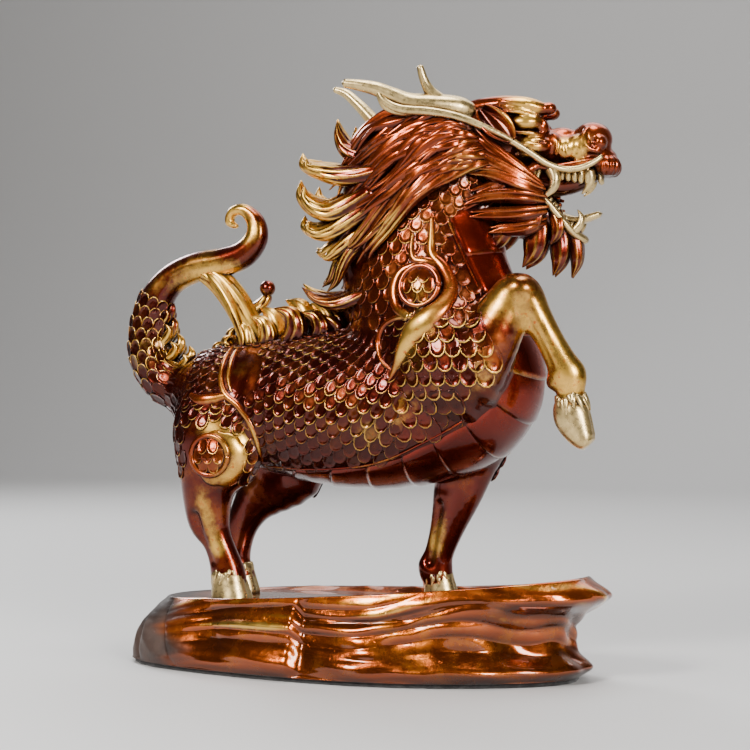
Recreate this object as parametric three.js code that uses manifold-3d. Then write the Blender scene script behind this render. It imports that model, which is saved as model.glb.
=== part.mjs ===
// A lacquered qilin figure that prances on a carved rock, with a felt pad under the rock.
// Millimetres, +Z up, +X towards the head, +Y towards the figure's left side.
// The origin is on the pad's underside, under the middle of the rock.
import * as THREE from "three";
import { mergeVertices } from "three/addons/utils/BufferGeometryUtils.js";
import Module from "manifold-3d";

// Driving sizes of the rock and its pad.
const PAD_THICKNESS = 1.5;
const PAD_INSET = 1;
const ROCK_LENGTH = 172;
const ROCK_WIDTH = 76;
const ROCK_HEIGHT = 22;
const ROCK_LIP_RISE = 12.2;
const ROCK_LIP_REACH = 6.5;
const ROCK_EDGE_ROUND = 16;
const ROCK_FLANK_MARGIN = 11;
const ROCK_END_MARGIN = 17;

// Driving sizes of the figure. Its pose and carving are drawn at DRAWN_HEIGHT and follow FIGURE_HEIGHT.
const FIGURE_HEIGHT = 185;
const FIGURE_FORWARD = 6;
const DRAWN_HEIGHT = 185;
const figureScale = FIGURE_HEIGHT / DRAWN_HEIGHT;
const groundLevel = PAD_THICKNESS + ROCK_HEIGHT;

// The head's own frame in the drawn figure: x runs towards the nose, y to its left, z to the crown.
const HEAD_PLACE = [33, 1.5, 157];
const HEAD_TURN_DEG = 12;

const SIDEWAYS = new THREE.Vector3(0, 1, 0);
const SIDES = [-1, 1];

// Forms closer than this are joined without slivers between them.
const JOIN_TOLERANCE = 0.8;

const wasm = await Module();
wasm.setup();

// Joining and cutting closed meshes.

function solid(geometry) {
  const bare = geometry.clone();
  for (const name of ["normal", "uv"]) bare.deleteAttribute(name);
  const merged = mergeVertices(bare, 1e-4);
  return new wasm.Manifold(
    new wasm.Mesh({
      numProp: 3,
      tolerance: JOIN_TOLERANCE,
      vertProperties: merged.attributes.position.array,
      triVerts: new Uint32Array(merged.index.array),
    }),
  );
}

function geometryOf(manifold) {
  const mesh = manifold.getMesh();
  const count = mesh.vertProperties.length / mesh.numProp;
  const positions = new Float32Array(count * 3);
  for (let i = 0; i < count; i++) {
    positions.set(mesh.vertProperties.subarray(i * mesh.numProp, i * mesh.numProp + 3), i * 3);
  }
  const geometry = new THREE.BufferGeometry();
  geometry.setAttribute("position", new THREE.BufferAttribute(positions, 3));
  geometry.setIndex(new THREE.BufferAttribute(new Uint32Array(mesh.triVerts), 1));
  geometry.computeVertexNormals();
  return geometry;
}

const joined = (solids) => solids.reduce((whole, next) => whole.add(next));

// Keeps a mesh's largest connected surface. Sealed pockets left between joined forms are filled by that.
function outerSkin(geometry) {
  const index = geometry.index.array;
  const group = Array.from({ length: geometry.attributes.position.count }, (_, i) => i);
  const rootOf = (vertex) => {
    let root = vertex;
    while (group[root] !== root) root = group[root];
    group[vertex] = root;
    return root;
  };
  for (let i = 0; i < index.length; i += 3) {
    group[rootOf(index[i + 1])] = rootOf(index[i]);
    group[rootOf(index[i + 2])] = rootOf(index[i]);
  }
  const corners = new Map();
  for (const vertex of index) {
    const root = rootOf(vertex);
    if (!corners.has(root)) corners.set(root, []);
    corners.get(root).push(vertex);
  }
  const largest = [...corners.values()].reduce((a, b) => (b.length > a.length ? b : a));
  const bare = geometry.clone().setIndex(largest).toNonIndexed();
  bare.deleteAttribute("normal");
  return mergeVertices(bare, 1e-5);
}

// A closed body swept along a smooth curve through its stations, each [x, y, z, half width, half depth].
// The width lies along "across", the depth square to it and to the curve.
function limb(stations, { sides = 8, steps = 1, across = SIDEWAYS, tip = 0.5 } = {}) {
  const line = new THREE.CatmullRomCurve3(stations.map(([x, y, z]) => new THREE.Vector3(x, y, z)));
  const girth = new THREE.CatmullRomCurve3(
    stations.map(([, , , wide, deep]) => new THREE.Vector3(wide, deep ?? wide, 0)),
  );
  const rings = (stations.length - 1) * steps;
  const positions = [];
  const faces = [];
  const put = (point) => positions.push(point.x, point.y, point.z);
  const frameAt = (t) => {
    const along = line.getTangent(t);
    const wide = across.clone().addScaledVector(along, -across.dot(along)).normalize();
    return { along, wide, deep: new THREE.Vector3().crossVectors(along, wide) };
  };
  for (let ring = 0; ring <= rings; ring++) {
    const t = ring / rings;
    const { wide, deep } = frameAt(t);
    const half = girth.getPoint(t);
    for (let side = 0; side < sides; side++) {
      const angle = (2 * Math.PI * side) / sides;
      put(
        line
          .getPoint(t)
          .addScaledVector(wide, Math.cos(angle) * Math.max(half.x, 0.2))
          .addScaledVector(deep, Math.sin(angle) * Math.max(half.y, 0.2)),
      );
    }
  }
  for (let ring = 0; ring < rings; ring++) {
    for (let side = 0; side < sides; side++) {
      const here = ring * sides + side;
      const beside = ring * sides + ((side + 1) % sides);
      faces.push(here, beside, here + sides, beside, beside + sides, here + sides);
    }
  }
  for (const [t, ring, direction] of [
    [0, 0, -1],
    [1, rings, 1],
  ]) {
    const pole = positions.length / 3;
    const half = girth.getPoint(t);
    put(line.getPoint(t).addScaledVector(frameAt(t).along, direction * tip * Math.min(half.x, half.y)));
    for (let side = 0; side < sides; side++) {
      const here = ring * sides + side;
      const beside = ring * sides + ((side + 1) % sides);
      faces.push(...(direction < 0 ? [pole, beside, here] : [pole, here, beside]));
    }
  }
  const geometry = new THREE.BufferGeometry();
  geometry.setAttribute("position", new THREE.Float32BufferAttribute(positions, 3));
  geometry.setIndex(faces);
  return geometry;
}

// An ellipsoid with half sizes [x, y, z] at a point, tilted about Y.
function ball([x, y, z], [rx, ry, rz], sides = 8, tiltDeg = 0) {
  return new THREE.SphereGeometry(1, sides, Math.ceil(sides * 0.6))
    .scale(rx, ry, rz)
    .rotateY(THREE.MathUtils.degToRad(tiltDeg))
    .translate(x, y, z);
}

// A pointed lock of hair or flame that tapers from its root through the points given to its tip.
function lock(points, wide, thick, options = {}) {
  const last = points.length - 1;
  const stations = points.map((point, i) => {
    const taper = Math.pow(1 - i / last, 0.7);
    return [...point, 0.25 + wide * taper, 0.25 + thick * taper];
  });
  return limb(stations, { sides: 4, tip: 1, ...options });
}

// Mirrors a list of stations to one side of the middle plane: side -1 is the figure's right.
const onSide = (side, stations) => stations.map(([x, y, ...rest]) => [x, side * y, ...rest]);

// The trunk: belly, chest and neck.

function trunk() {
  const body = limb(
    [
      [-66, 0, 70, 9, 11],
      [-58, 0, 71, 16, 18],
      [-40, 0, 69.5, 20, 22],
      [-15, 0, 68, 24, 26.5],
      [9, 0, 69.5, 26, 29],
      [30, 0, 76, 25, 30],
      [42, 0, 82, 20, 24],
    ],
    { sides: 12 },
  );
  const chest = ball([33, 0, 78.5], [30, 25.5, 31.5], 12);
  const neck = limb(
    [
      [30, 0, 82, 24, 30],
      [25, 0, 100, 23, 30],
      [24, 0, 116, 20, 26.5],
      [25, 0, 131, 17, 21],
      [29, 0.5, 145, 14.5, 17.5],
      [34, 1.2, 156, 13, 15],
    ],
    { sides: 12 },
  );
  return [body, chest, neck];
}

// The broad plates that overlap down the throat, the chest and the belly.
function bellyPlates() {
  const middle = new THREE.CatmullRomCurve3(
    [
      [38, 131],
      [47, 119],
      [54, 107],
      [61.5, 92],
      [63.5, 78],
      [58, 64],
      [46, 53],
      [29, 44.5],
      [10, 41],
      [-9, 41.5],
      [-26, 46],
    ].map(([x, z]) => new THREE.Vector3(x, 0, z)),
  );
  const PLATES = 8;
  const solids = [];
  for (let i = 0; i < PLATES; i++) {
    const t = (i + 0.5) / PLATES;
    const centre = middle.getPoint(t);
    const along = middle.getTangent(t);
    const inward = new THREE.Vector3().crossVectors(SIDEWAYS, along);
    const reach = 12 + 6.5 * Math.sin(Math.PI * Math.min(1, t * 1.15));
    const curl = 0.42;
    const stations = [-1, -0.5, 0.5, 1].map((share) => {
      const y = share * reach;
      const back = curl * reach * share * share;
      const point = centre.clone().addScaledVector(inward, back + 1.2);
      return [point.x, y, point.z, 3.4 - 1.8 * share * share, 10.5 - 4 * share * share];
    });
    solids.push(limb(stations, { sides: 4, across: inward }));
  }
  return solids;
}

// The legs. A hoof's sole is cut off level with the ground afterwards.

function hoof([x, y], half) {
  return limb(
    [
      [x - 1.2, y, 10.5, 0.64 * half, 0.8 * half],
      [x - 0.6, y, 7, 0.72 * half, 0.88 * half],
      [x, y, -1.5, 0.82 * half, half],
    ],
    { sides: 8, tip: 0 },
  );
}

function nearHindLeg() {
  const leg = limb(
    [
      [-50, -7, 74, 10, 15],
      [-53, -13, 62, 10.5, 14.5],
      [-54.4, -14, 49, 9.2, 12],
      [-55.6, -14, 37, 7, 9.4],
      [-55.2, -13.8, 28, 5.4, 7.8],
      [-52.4, -13.5, 22, 4.6, 5.7],
      [-50.2, -13.2, 16.5, 4.4, 5.5],
      [-48.4, -13, 11, 4.8, 6.2],
    ],
    { sides: 8 },
  );
  return [leg, ball([-54, -12, 60], [13, 10.5, 17], 8), hoof([-46.8, -13], 8)];
}

function farHindLeg() {
  const leg = limb(
    [
      [-46, 7, 72, 10, 17],
      [-39, 13, 59, 10.5, 17.5],
      [-38, 13.5, 45, 9, 14],
      [-48.5, 13.5, 35, 6.8, 8.6],
      [-54, 13, 26.5, 5.2, 6.2],
      [-56, 12.8, 18, 4.2, 4.8],
      [-56.4, 12.6, 11, 4.2, 4.6],
      [-55.4, 12.5, 7.5, 4.6, 5],
    ],
    { sides: 8 },
  );
  return [leg, ball([-33, 13, 45], [9.5, 8, 10.5], 7), hoof([-54.6, 12.5], 6.6)];
}

function farForeleg() {
  const leg = limb(
    [
      [34, 11, 78, 11, 16],
      [35.5, 14, 62, 9, 13.2],
      [31.6, 14, 48.5, 7.4, 10.6],
      [28.4, 13, 37, 6.2, 8.6],
      [25, 12.5, 26, 4.7, 6.2],
      [22, 12.5, 17, 4.2, 5.2],
      [20.6, 12.5, 11.5, 4.6, 6.2],
      [21.8, 12.5, 8, 4.6, 5.2],
    ],
    { sides: 8 },
  );
  return [leg, hoof([22.8, 12.5], 6.8)];
}

function raisedForeleg() {
  const upper = limb(
    [
      [30, -12, 104, 11, 15],
      [34, -18, 92, 11.5, 17],
      [41, -20, 82, 10.5, 16],
      [50, -20, 90, 8.5, 11.5],
      [56, -19, 100, 6.6, 8.4],
      [60, -18.5, 107, 5.6, 6.4],
    ],
    { sides: 8 },
  );
  const lower = limb(
    [
      [58, -18.5, 105.5, 5, 5],
      [63, -18, 106, 5.6, 6],
      [67, -17.5, 99, 4.8, 5.2],
      [71.5, -17, 91, 4.3, 4.7],
      [75.2, -16.5, 84, 4.6, 5.2],
      [77.4, -16, 79, 5, 6.4],
      [78.6, -16, 74, 4, 4.4],
      [78.3, -16, 70.5, 4.6, 5.8],
      [79.2, -16, 66, 5, 6.9],
      [82, -16, 60, 4.4, 5.2],
      [84.3, -16, 57.2, 3, 2.6],
    ],
    { sides: 8 },
  );
  return [upper, lower];
}

// The tail loops up behind the rump and comes down on the back, and its end curls.

function tail() {
  const loop = limb(
    [
      [-60, 0, 71, 9, 12],
      [-70, 0, 74, 7.8, 9.4],
      [-80, 0, 78, 7, 8.3],
      [-86, 0, 87, 6.6, 7.9],
      [-86, 0, 98, 6.2, 7.4],
      [-83, 0, 107.5, 5.8, 6.4],
      [-76.5, 0, 114.5, 5.4, 5.6],
      [-67, 0, 118.5, 5.2, 5.5],
      [-57, 0, 120, 5, 5.3],
      [-48.5, 0, 122.5, 4.6, 5],
      [-43.2, 0, 128, 4.1, 4.3],
      [-43.2, 0, 134, 3.5, 3.4],
      [-47.5, 0, 138.6, 3, 2.4],
      [-52.3, 0, 138.2, 2.6, 1.9],
      [-54, 0, 134.6, 2.3, 1.5],
      [-51.2, 0, 133, 2.1, 1.2],
    ],
    { sides: 8 },
  );
  const branch = limb(
    [
      [-66, 0, 117, 4, 4.4],
      [-57.5, 0, 113.5, 4.6, 5],
      [-51.5, 0, 107, 5, 5.2],
      [-46.5, 0, 99, 5, 5.2],
      [-42.5, 0, 90, 4.6, 5],
    ],
    { sides: 6 },
  );
  const curl = lock([[-45, 2, 104], [-41.5, 4, 106.5], [-40.5, 4.5, 110]], 2.6, 2.6);
  return [loop, branch, curl, ball([-40.7, 4.2, 110.2], [2.9, 2.6, 3], 6)];
}

// Tufts of flame-like hair along the spine, between the loop of the tail and the mane.
function spineTufts() {
  const tufts = [
    [[-43, 0, 88], [-43.5, 0, 96], [-46, 0, 103], 3.2, 3.4],
    [[-38, 0, 88], [-37.5, 0, 97], [-40, 0, 104.5], 3.4, 4],
    [[-32, 0, 90], [-31, 0, 98], [-33.5, 0, 105.5], 3.6, 4.4],
    [[-26.5, 0, 91], [-24.5, 0, 99], [-29.5, 0, 106.5], 4, 5],
    [[-20, 0, 92], [-19, 0, 99], [-24, 0, 106], 4, 4.6],
    [[-13, 0, 93], [-14, 0, 98], [-18.5, 0, 104.5], 3, 2.4],
    [[-50, 0, 88], [-53, 0, 93], [-51.5, 0, 96.5], 2.2, 2],
    [[-72, 0, 82], [-69, 0, 85.5], [-70, 0, 88.5], 2.2, 1.8],
    [[-77, 0, 87], [-74, 0, 91.5], [-76, 0, 94.5], 2.2, 1.8],
    [[-79, 0, 95], [-76.5, 0, 99.5], [-78, 0, 103], 2, 1.6],
  ];
  const solids = tufts.map(([root, middle, tip, wide, thick]) => lock([root, middle, tip], wide, thick));
  // The largest tuft has a smaller one on each side of it.
  const [root, middle, tip, wide, thick] = tufts[3];
  const SIDE_TUFT_SHARE = 0.8;
  for (const side of SIDES) {
    const spread = ([x, , z], out, down) => [x - 1.5, side * out, z - down];
    const points = [spread(root, 4, 1), spread(middle, 6, 2), spread(tip, 6.5, 4)];
    solids.push(lock(points, wide * SIDE_TUFT_SHARE, thick * SIDE_TUFT_SHARE));
  }
  return solids;
}

// The mane: a mass of hair down the back of the neck, and pointed locks that stream from it.

function mane() {
  const mass = limb(
    [
      [20, 0.5, 166, 9, 7],
      [10, 0, 162, 11, 8.5],
      [4, 0, 152, 12.5, 9.5],
      [1, 0, 140, 13, 9.5],
      [0, 0, 127, 12.5, 9],
      [-1, 0, 114, 9.5, 7.5],
      [-4, 0, 104, 5.5, 5],
    ],
    { sides: 10 },
  );
  const locks = [
    [[3, 0, 155], [-5, 0, 156], [-9.5, 0, 161], [-11.5, 0, 169], 5.2, 3.8],
    [[4, 0, 151], [-9, 0, 150.5], [-18, 0, 152.5], [-25.5, 0, 156.5], 6, 4.4],
    [[0, 0, 142], [-10, 0, 138], [-19, 0, 139], [-25.5, 0, 147], 6.4, 5],
    [[0, 0, 138], [-9, 0, 133.5], [-17.5, 0, 131], [-24.5, 0, 133.8], 5.8, 4],
    [[0, 0, 129], [-7, 0, 128], [-13, 0, 124.5], [-18.5, 0, 123.2], 5, 3.6],
    [[-2, 0, 128], [-8, 0, 124], [-12, 0, 118], [-17, 0, 111.6], 4, 3],
    [[-2, 0, 107], [-11, 0, 106.5], [-18, 0, 108.5], [-25, 0, 112], 4.6, 3.4],
  ];
  const solids = [mass];
  for (const [root, first, second, tip, wide, thick] of locks) {
    solids.push(lock([root, first, second, tip], wide, thick));
  }
  // The middle locks are repeated on both sides, fanned forwards, out and down from root to tip.
  const FAN = [
    [3, 6, 1],
    [4, 10, 2.5],
    [5.5, 13.5, 3.5],
    [7.5, 16.5, 4],
  ];
  const SIDE_LOCK_SHARE = 0.85;
  for (const side of SIDES) {
    for (const [root, first, second, tip, wide, thick] of locks.slice(1, 6)) {
      const points = [root, first, second, tip].map(([x, , z], i) => {
        const [ahead, out, down] = FAN[i];
        return [x + ahead, side * out, z - down];
      });
      solids.push(lock(points, wide * SIDE_LOCK_SHARE, thick * SIDE_LOCK_SHARE));
    }
  }
  return solids;
}

// Long strands of hair that sweep back from the cheek over the side of the neck.
function cheekStrands() {
  const strands = [
    [[46, 13, 167], [32, 16, 167.5], [18, 14.5, 162], [3, 10, 155], 5],
    [[48, 12.5, 160], [34, 18, 161], [17, 17.5, 153], [-3, 13, 142], 5],
    [[49, 12, 153], [35, 18, 154], [18, 19, 144], [-1, 15.5, 130], 4.8],
    [[47, 12.5, 147], [34, 17.5, 148], [19, 20, 136], [2, 17.5, 118], 4.4],
    [[52, 10, 149], [44, 13.5, 143], [36, 15, 139], [31, 15, 136], 3.6],
  ];
  const solids = [];
  for (const side of SIDES) {
    for (const [root, first, second, tip, size] of strands) {
      solids.push(lock(onSide(side, [root, first, second, tip]), size, size * 0.8));
    }
  }
  return solids;
}

// Carved ornaments: a scaled disc in a flame on each shoulder and on each hip.

function shoulderFlame(side) {
  const disc = ball([30.5, side * 21.5, 109], [8, 4.6, 8.6]);
  const rim = limb(
    onSide(side, [
      [30, 20.5, 131.5, 0.8, 0.8],
      [31.5, 23.2, 122.5, 1.9, 2.2],
      [37.5, 24.6, 114.5, 2.2, 3],
      [40, 24.6, 107, 2.4, 3.6],
      [36.5, 25.6, 100, 2.4, 4],
      [29, 26, 92, 2, 3.2],
      [21, 25.2, 84.5, 0.7, 0.9],
    ]),
    { sides: 5 },
  );
  const back = lock(onSide(side, [[24, 24, 105], [21.5, 23.6, 113], [22, 20, 124.5]]), 2.2, 1.8);
  const curl = lock(onSide(side, [[27, 25, 99], [18, 24.6, 98], [12, 24, 92], [13, 24.4, 85]]), 1.8, 2.2);
  return [disc, rim, back, curl];
}

function hipFlame(side, [x, y, z]) {
  const disc = ball([x, side * y, z], [9, 3.2, 9.6]);
  const rim = limb(
    onSide(side, [
      [x - 8, y - 1.4, z + 9, 0.9, 1.2],
      [x + 1, y - 0.4, z + 11.5, 2, 2.4],
      [x + 10, y - 1, z + 6.5, 2.4, 3.6],
      [x + 11.5, y - 1.6, z - 2.5, 2.4, 3.4],
      [x + 5, y - 1.6, z - 10.5, 2, 2.2],
      [x - 4, y - 2, z - 12, 0.9, 1],
    ]),
    { sides: 5 },
  );
  const upper = lock(
    onSide(side, [
      [x + 11, y - 2.5, z + 10],
      [x + 3, y - 5, z + 19],
      [x - 1, y - 8, z + 28],
      [x - 3, y - 11, z + 34],
    ]),
    2.6,
    2.2,
  );
  return [disc, rim, upper];
}

// The head, drawn in its own frame.

function headForms() {
  const forms = [
    limb(
      [
        [-13, 0, -2, 7, 10],
        [-5, 0, -1, 12, 16],
        [6, 0, 0.5, 12.5, 17.5],
        [17, 0, 1, 11.5, 15],
        [27, 0, 1, 10.5, 9.5],
        [36, 0, -1, 8.6, 6.6],
        [45, 0, -1.5, 7.2, 6],
        [52, 0, -4.5, 5.4, 4],
      ],
      { sides: 10 },
    ),
    ball([46, 0, 2.2], [6.6, 7.2, 6.4], 7),
    limb(
      [
        [8, 0, -12, 10, 9],
        [20, 0, -17.5, 9, 6.4],
        [31, 0, -23.6, 8, 5.2],
        [42, 0, -31, 5, 3],
      ],
      { sides: 8 },
    ),
    limb(
      [
        [28, 0, -19, 3.6, 2],
        [36, 0, -24, 3.8, 2],
        [43, 0, -24.8, 3, 1.7],
        [48.5, 0, -22.8, 1.6, 1],
      ],
      { sides: 6 },
    ),
  ];
  for (const side of SIDES) {
    const brow = [
      [8, 5, 16, 4, 4.2],
      [20, 7, 14, 5, 4.8],
      [28, 7.4, 12.4, 3.6, 3.2],
      [31.4, 7, 12.4, 2, 2],
    ];
    const eyelid = [
      [16, 9.6, 7.4, 2.2, 3],
      [23, 10.2, 9, 3, 3.6],
      [30, 8.4, 9.2, 2.2, 2.4],
    ];
    const upperLip = [
      [28, 8.8, -7.8, 2, 2.2],
      [38, 8, -8.6, 1.8, 2.2],
      [47, 6, -7, 1.8, 2.4],
      [53.4, 1.8, -8.2, 2.4, 3.2],
    ];
    const ear = [
      [9, 11.5, 12.5, 1.2, 2.6],
      [14, 14.4, 8.4, 1.4, 4.8],
      [19.5, 14.4, 1.4, 0.8, 1.4],
    ];
    const fang = [[33.5, 8.8, -8.5], [33.8, 9.6, -13], [29.4, 9.4, -18.6]];
    const upperCanine = [[43.5, 5, -8], [44, 5.2, -13], [42.6, 4.8, -17.5]];
    const lowerCanine = [[40.5, 5, -29], [42.4, 5.2, -25], [41.6, 5, -21.8]];
    forms.push(
      limb(onSide(side, brow), { sides: 5 }),
      limb(onSide(side, eyelid), { sides: 4 }),
      limb(onSide(side, upperLip), { sides: 4 }),
      limb(onSide(side, ear), { sides: 4 }),
      ball([28.6, side * 7.6, 5.6], [3.8, 3.6, 3.8], 6),
      ball([49.6, side * 5.4, 0.4], [3, 2.6, 3], 5),
      lock(onSide(side, fang), 2, 2),
      lock(onSide(side, upperCanine), 1.8, 1.6),
      lock(onSide(side, lowerCanine), 1.4, 1.4),
    );
  }
  return forms;
}

// Teeth along both jaws.
function teeth() {
  const forms = [];
  const SIDE_TEETH = 2;
  for (const side of SIDES) {
    for (let i = 0; i < SIDE_TEETH; i++) {
      const x = 36 + 2.4 * i;
      const y = side * (7 - 0.4 * i);
      forms.push(lock([[x, y, -8], [x + 0.2, y, -12]], 1.2, 1.1, { sides: 4 }));
    }
  }
  return forms;
}

// Spiky tufts of beard under the jaw.
function beard() {
  const spikes = [
    [[38, 2, -29], [39.8, 2.6, -37.5], [39, 2.6, -44.5], 2.8],
    [[32, 4.2, -29], [33.6, 5, -37], [33, 5, -44], 3.6],
    [[28, 5.6, -28], [26.4, 7, -35.5], [23.6, 7, -41], 3.8],
    [[22, 6.6, -25], [18.6, 8, -32], [16.2, 8, -38.4], 3.8],
    [[16, 7.4, -20], [10, 9.6, -26.5], [6, 10.4, -31], 3.8],
  ];
  const forms = [];
  for (const side of SIDES) {
    for (const [root, middle, tip, size] of spikes) {
      forms.push(lock(onSide(side, [root, middle, tip]), size, size * 0.75));
    }
  }
  return forms;
}

// The horns sweep back from the brow, each with one prong. The far one lies lower and further back.
function horns() {
  const near = limb(
    [
      [8, -7.5, 12, 3.2, 3.4],
      [-4.5, -10.8, 13.6, 3.4, 3.6],
      [-14.8, -13, 14.6, 3, 3.3],
      [-23, -14.8, 18, 2.6, 2.7],
      [-30, -16, 20.8, 2, 2.1],
      [-37, -16.2, 21.6, 1.6, 1.6],
    ],
    { sides: 8 },
  );
  const nearProng = limb([
    [-5.5, -11, 15, 2.6, 2.8],
    [-9.2, -12, 21, 1.6, 1.7],
    [-11.4, -12.5, 27, 1.3, 1.3],
  ], { sides: 6 });
  const far = limb(
    [
      [8, 7.5, 12, 3.2, 3.2],
      [-6, 9, 8.4, 3.2, 3.4],
      [-20, 9.4, 6.4, 2.8, 3],
      [-29, 10.6, 10, 2.4, 2.6],
      [-36.6, 12, 17.6, 2, 2.1],
      [-41.5, 13, 22, 1.6, 1.7],
      [-46.5, 13.2, 24, 1.1, 1.1],
    ],
    { sides: 8 },
  );
  const farProng = limb([
    [-14, 9.4, 8, 2.2, 2.2],
    [-17, 10, 13, 1.5, 1.5],
    [-18.4, 10.4, 17, 1.1, 1.1],
  ], { sides: 6 });
  return [near, nearProng, far, farProng];
}

// The whiskers run from the upper lip back along the cheek and curl up behind the horns.
function whiskers() {
  return SIDES.map((side) =>
    limb(
      onSide(side, [
        [50, 6, -5.4, 1, 1],
        [45, 7.8, -7, 1, 1],
        [40, 8.8, -8.2, 1, 1],
        [33.5, 10.4, -7.6, 1, 1],
        [27, 12, -3.4, 1, 1],
        [19, 13.4, 1.4, 1, 1.1],
        [9.5, 14, 6.4, 1.1, 1.2],
        [1, 14, 9.2, 1.1, 1.4],
        [-8, 14, 10.2, 1.1, 1.5],
        [-17.5, 15, 11.8, 1.1, 1.5],
        [-23, 16, 15.4, 1, 1.3],
        [-25.4, 16.4, 19, 0.7, 0.9],
      ]),
      { sides: 4 },
    ),
  );
}

// Puts forms that are drawn in the head's frame into the figure.
function headInPlace(forms) {
  const place = new THREE.Matrix4()
    .makeTranslation(...HEAD_PLACE)
    .multiply(new THREE.Matrix4().makeRotationZ(THREE.MathUtils.degToRad(HEAD_TURN_DEG)));
  return forms.map((form) => form.applyMatrix4(place));
}

function figureGeometry() {
  const forms = [
    ...trunk(),
    ...bellyPlates(),
    ...nearHindLeg(),
    ...farHindLeg(),
    ...farForeleg(),
    ...raisedForeleg(),
    ...tail(),
    ...spineTufts(),
    ...mane(),
    ...cheekStrands(),
    ...shoulderFlame(-1),
    ...shoulderFlame(1),
    ...hipFlame(-1, [-49.5, 22, 52.5]),
    ...hipFlame(1, [-44, 22, 52.5]),
    ...headInPlace([...headForms(), ...teeth(), ...beard(), ...horns(), ...whiskers()]),
  ];
  const DEEP = 60;
  const underGround = solid(new THREE.BoxGeometry(4 * DEEP, 4 * DEEP, DEEP).translate(0, 0, -DEEP / 2));
  const whole = joined(forms.map(solid)).subtract(underGround);
  return outerSkin(geometryOf(whole)).scale(figureScale, figureScale, figureScale);
}

// The rock: an outline that wavers, ridges that run round it, and a lip that rises in front.

const ROCK_AROUND = 36;
const forwardShare = (angle) => 0.5 + 0.5 * Math.cos(angle);
const nearShare = (angle) => 0.5 - 0.5 * Math.sin(angle);

// A point on the rock's outline at the ground, moved out or in by "grow".
function rockOutline(angle, grow) {
  const SQUARENESS = 2.15;
  const [c, s] = [Math.cos(angle), Math.sin(angle)];
  const shape = Math.pow(Math.abs(c) ** SQUARENESS + Math.abs(s) ** SQUARENESS, -1 / SQUARENESS);
  const waver = 1 + 0.035 * Math.sin(4 * angle + 0.5) * s * s;
  return [
    ((ROCK_LENGTH / 2) * shape * waver + grow) * c,
    ((ROCK_WIDTH / 2) * shape * waver + grow) * s,
  ];
}

// How far the rim stands above the level ground: it climbs forwards, more on the right side.
const rimRise = (angle) =>
  ROCK_LIP_RISE * forwardShare(angle) ** 1.3 * Math.min(1, 0.45 + 1.1 * nearShare(angle));

// Each level up the side is a share of the height, with its growth past the outline in three places.
const ROCK_LEVELS = [
  { share: 0, tail: -2, flank: 0, head: -3.5 },
  { share: 0.16, tail: -1.5, flank: 1, head: 0 },
  { share: 0.34, tail: -2, flank: 0, head: -5.5 },
  { share: 0.52, tail: -4, flank: -2.2, head: -6 },
  { share: 0.7, tail: -7, flank: -2.5, head: -2 },
  { share: 0.86, tail: -11, flank: -4.5, head: ROCK_LIP_REACH },
  { share: 1, tail: -ROCK_EDGE_ROUND, flank: -5.5, head: 0 },
];

function rockGeometry() {
  const positions = [];
  const faces = [];
  for (const { share, tail: growTail, flank, head } of ROCK_LEVELS) {
    for (let i = 0; i < ROCK_AROUND; i++) {
      const angle = (2 * Math.PI * i) / ROCK_AROUND;
      const side = Math.sin(angle) ** 2;
      const end = forwardShare(angle) > 0.5 ? head : growTail;
      const ridge = share > 0 ? 0.9 * side * Math.sin(11 * share + 2.5 * angle) : 0;
      const [x, y] = rockOutline(angle, flank * side + end * (1 - side) + ridge);
      positions.push(x, y, PAD_THICKNESS + share * ROCK_HEIGHT + rimRise(angle) * share ** 2);
    }
  }
  // The level ground that the hooves stand on, inside the rim.
  for (let i = 0; i < ROCK_AROUND; i++) {
    const angle = (2 * Math.PI * i) / ROCK_AROUND;
    const side = Math.sin(angle) ** 2;
    const [x, y] = rockOutline(angle, -ROCK_FLANK_MARGIN * side - ROCK_END_MARGIN * (1 - side));
    positions.push(x, y, groundLevel);
  }
  const rings = ROCK_LEVELS.length + 1;
  for (let ring = 0; ring < rings - 1; ring++) {
    for (let i = 0; i < ROCK_AROUND; i++) {
      const here = ring * ROCK_AROUND + i;
      const beside = ring * ROCK_AROUND + ((i + 1) % ROCK_AROUND);
      faces.push(here, beside, here + ROCK_AROUND, beside, beside + ROCK_AROUND, here + ROCK_AROUND);
    }
  }
  const under = positions.length / 3;
  const top = (rings - 1) * ROCK_AROUND;
  positions.push(0, 0, PAD_THICKNESS, 0, 0, groundLevel);
  for (let i = 0; i < ROCK_AROUND; i++) {
    const next = (i + 1) % ROCK_AROUND;
    faces.push(under, next, i, under + 1, top + i, top + next);
  }
  const geometry = new THREE.BufferGeometry();
  geometry.setAttribute("position", new THREE.Float32BufferAttribute(positions, 3));
  geometry.setIndex(faces);
  geometry.computeVertexNormals();
  return geometry;
}

function padGeometry() {
  const outline = [];
  for (let i = 0; i < ROCK_AROUND; i++) {
    const angle = (2 * Math.PI * i) / ROCK_AROUND;
    const growth = forwardShare(angle) > 0.5 ? ROCK_LEVELS[0].head : ROCK_LEVELS[0].tail;
    outline.push(new THREE.Vector2(...rockOutline(angle, growth * Math.cos(angle) ** 2 - PAD_INSET)));
  }
  return new THREE.ExtrudeGeometry(new THREE.Shape(outline), { depth: PAD_THICKNESS, bevelEnabled: false });
}

const lacqueredBrass = new THREE.MeshStandardMaterial({ color: 0x7a2413, roughness: 0.28, metalness: 0.8 });
const amberLacquer = new THREE.MeshStandardMaterial({ color: 0x9a4a12, roughness: 0.2, metalness: 0.75 });
const blackFelt = new THREE.MeshStandardMaterial({ color: 0x14120f, roughness: 0.95, metalness: 0 });

function named(name, geometry, material) {
  const mesh = new THREE.Mesh(geometry, material);
  mesh.name = name;
  return mesh;
}

const qilin = named("qilin", figureGeometry(), lacqueredBrass);
qilin.position.set(FIGURE_FORWARD, 0, groundLevel);

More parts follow.
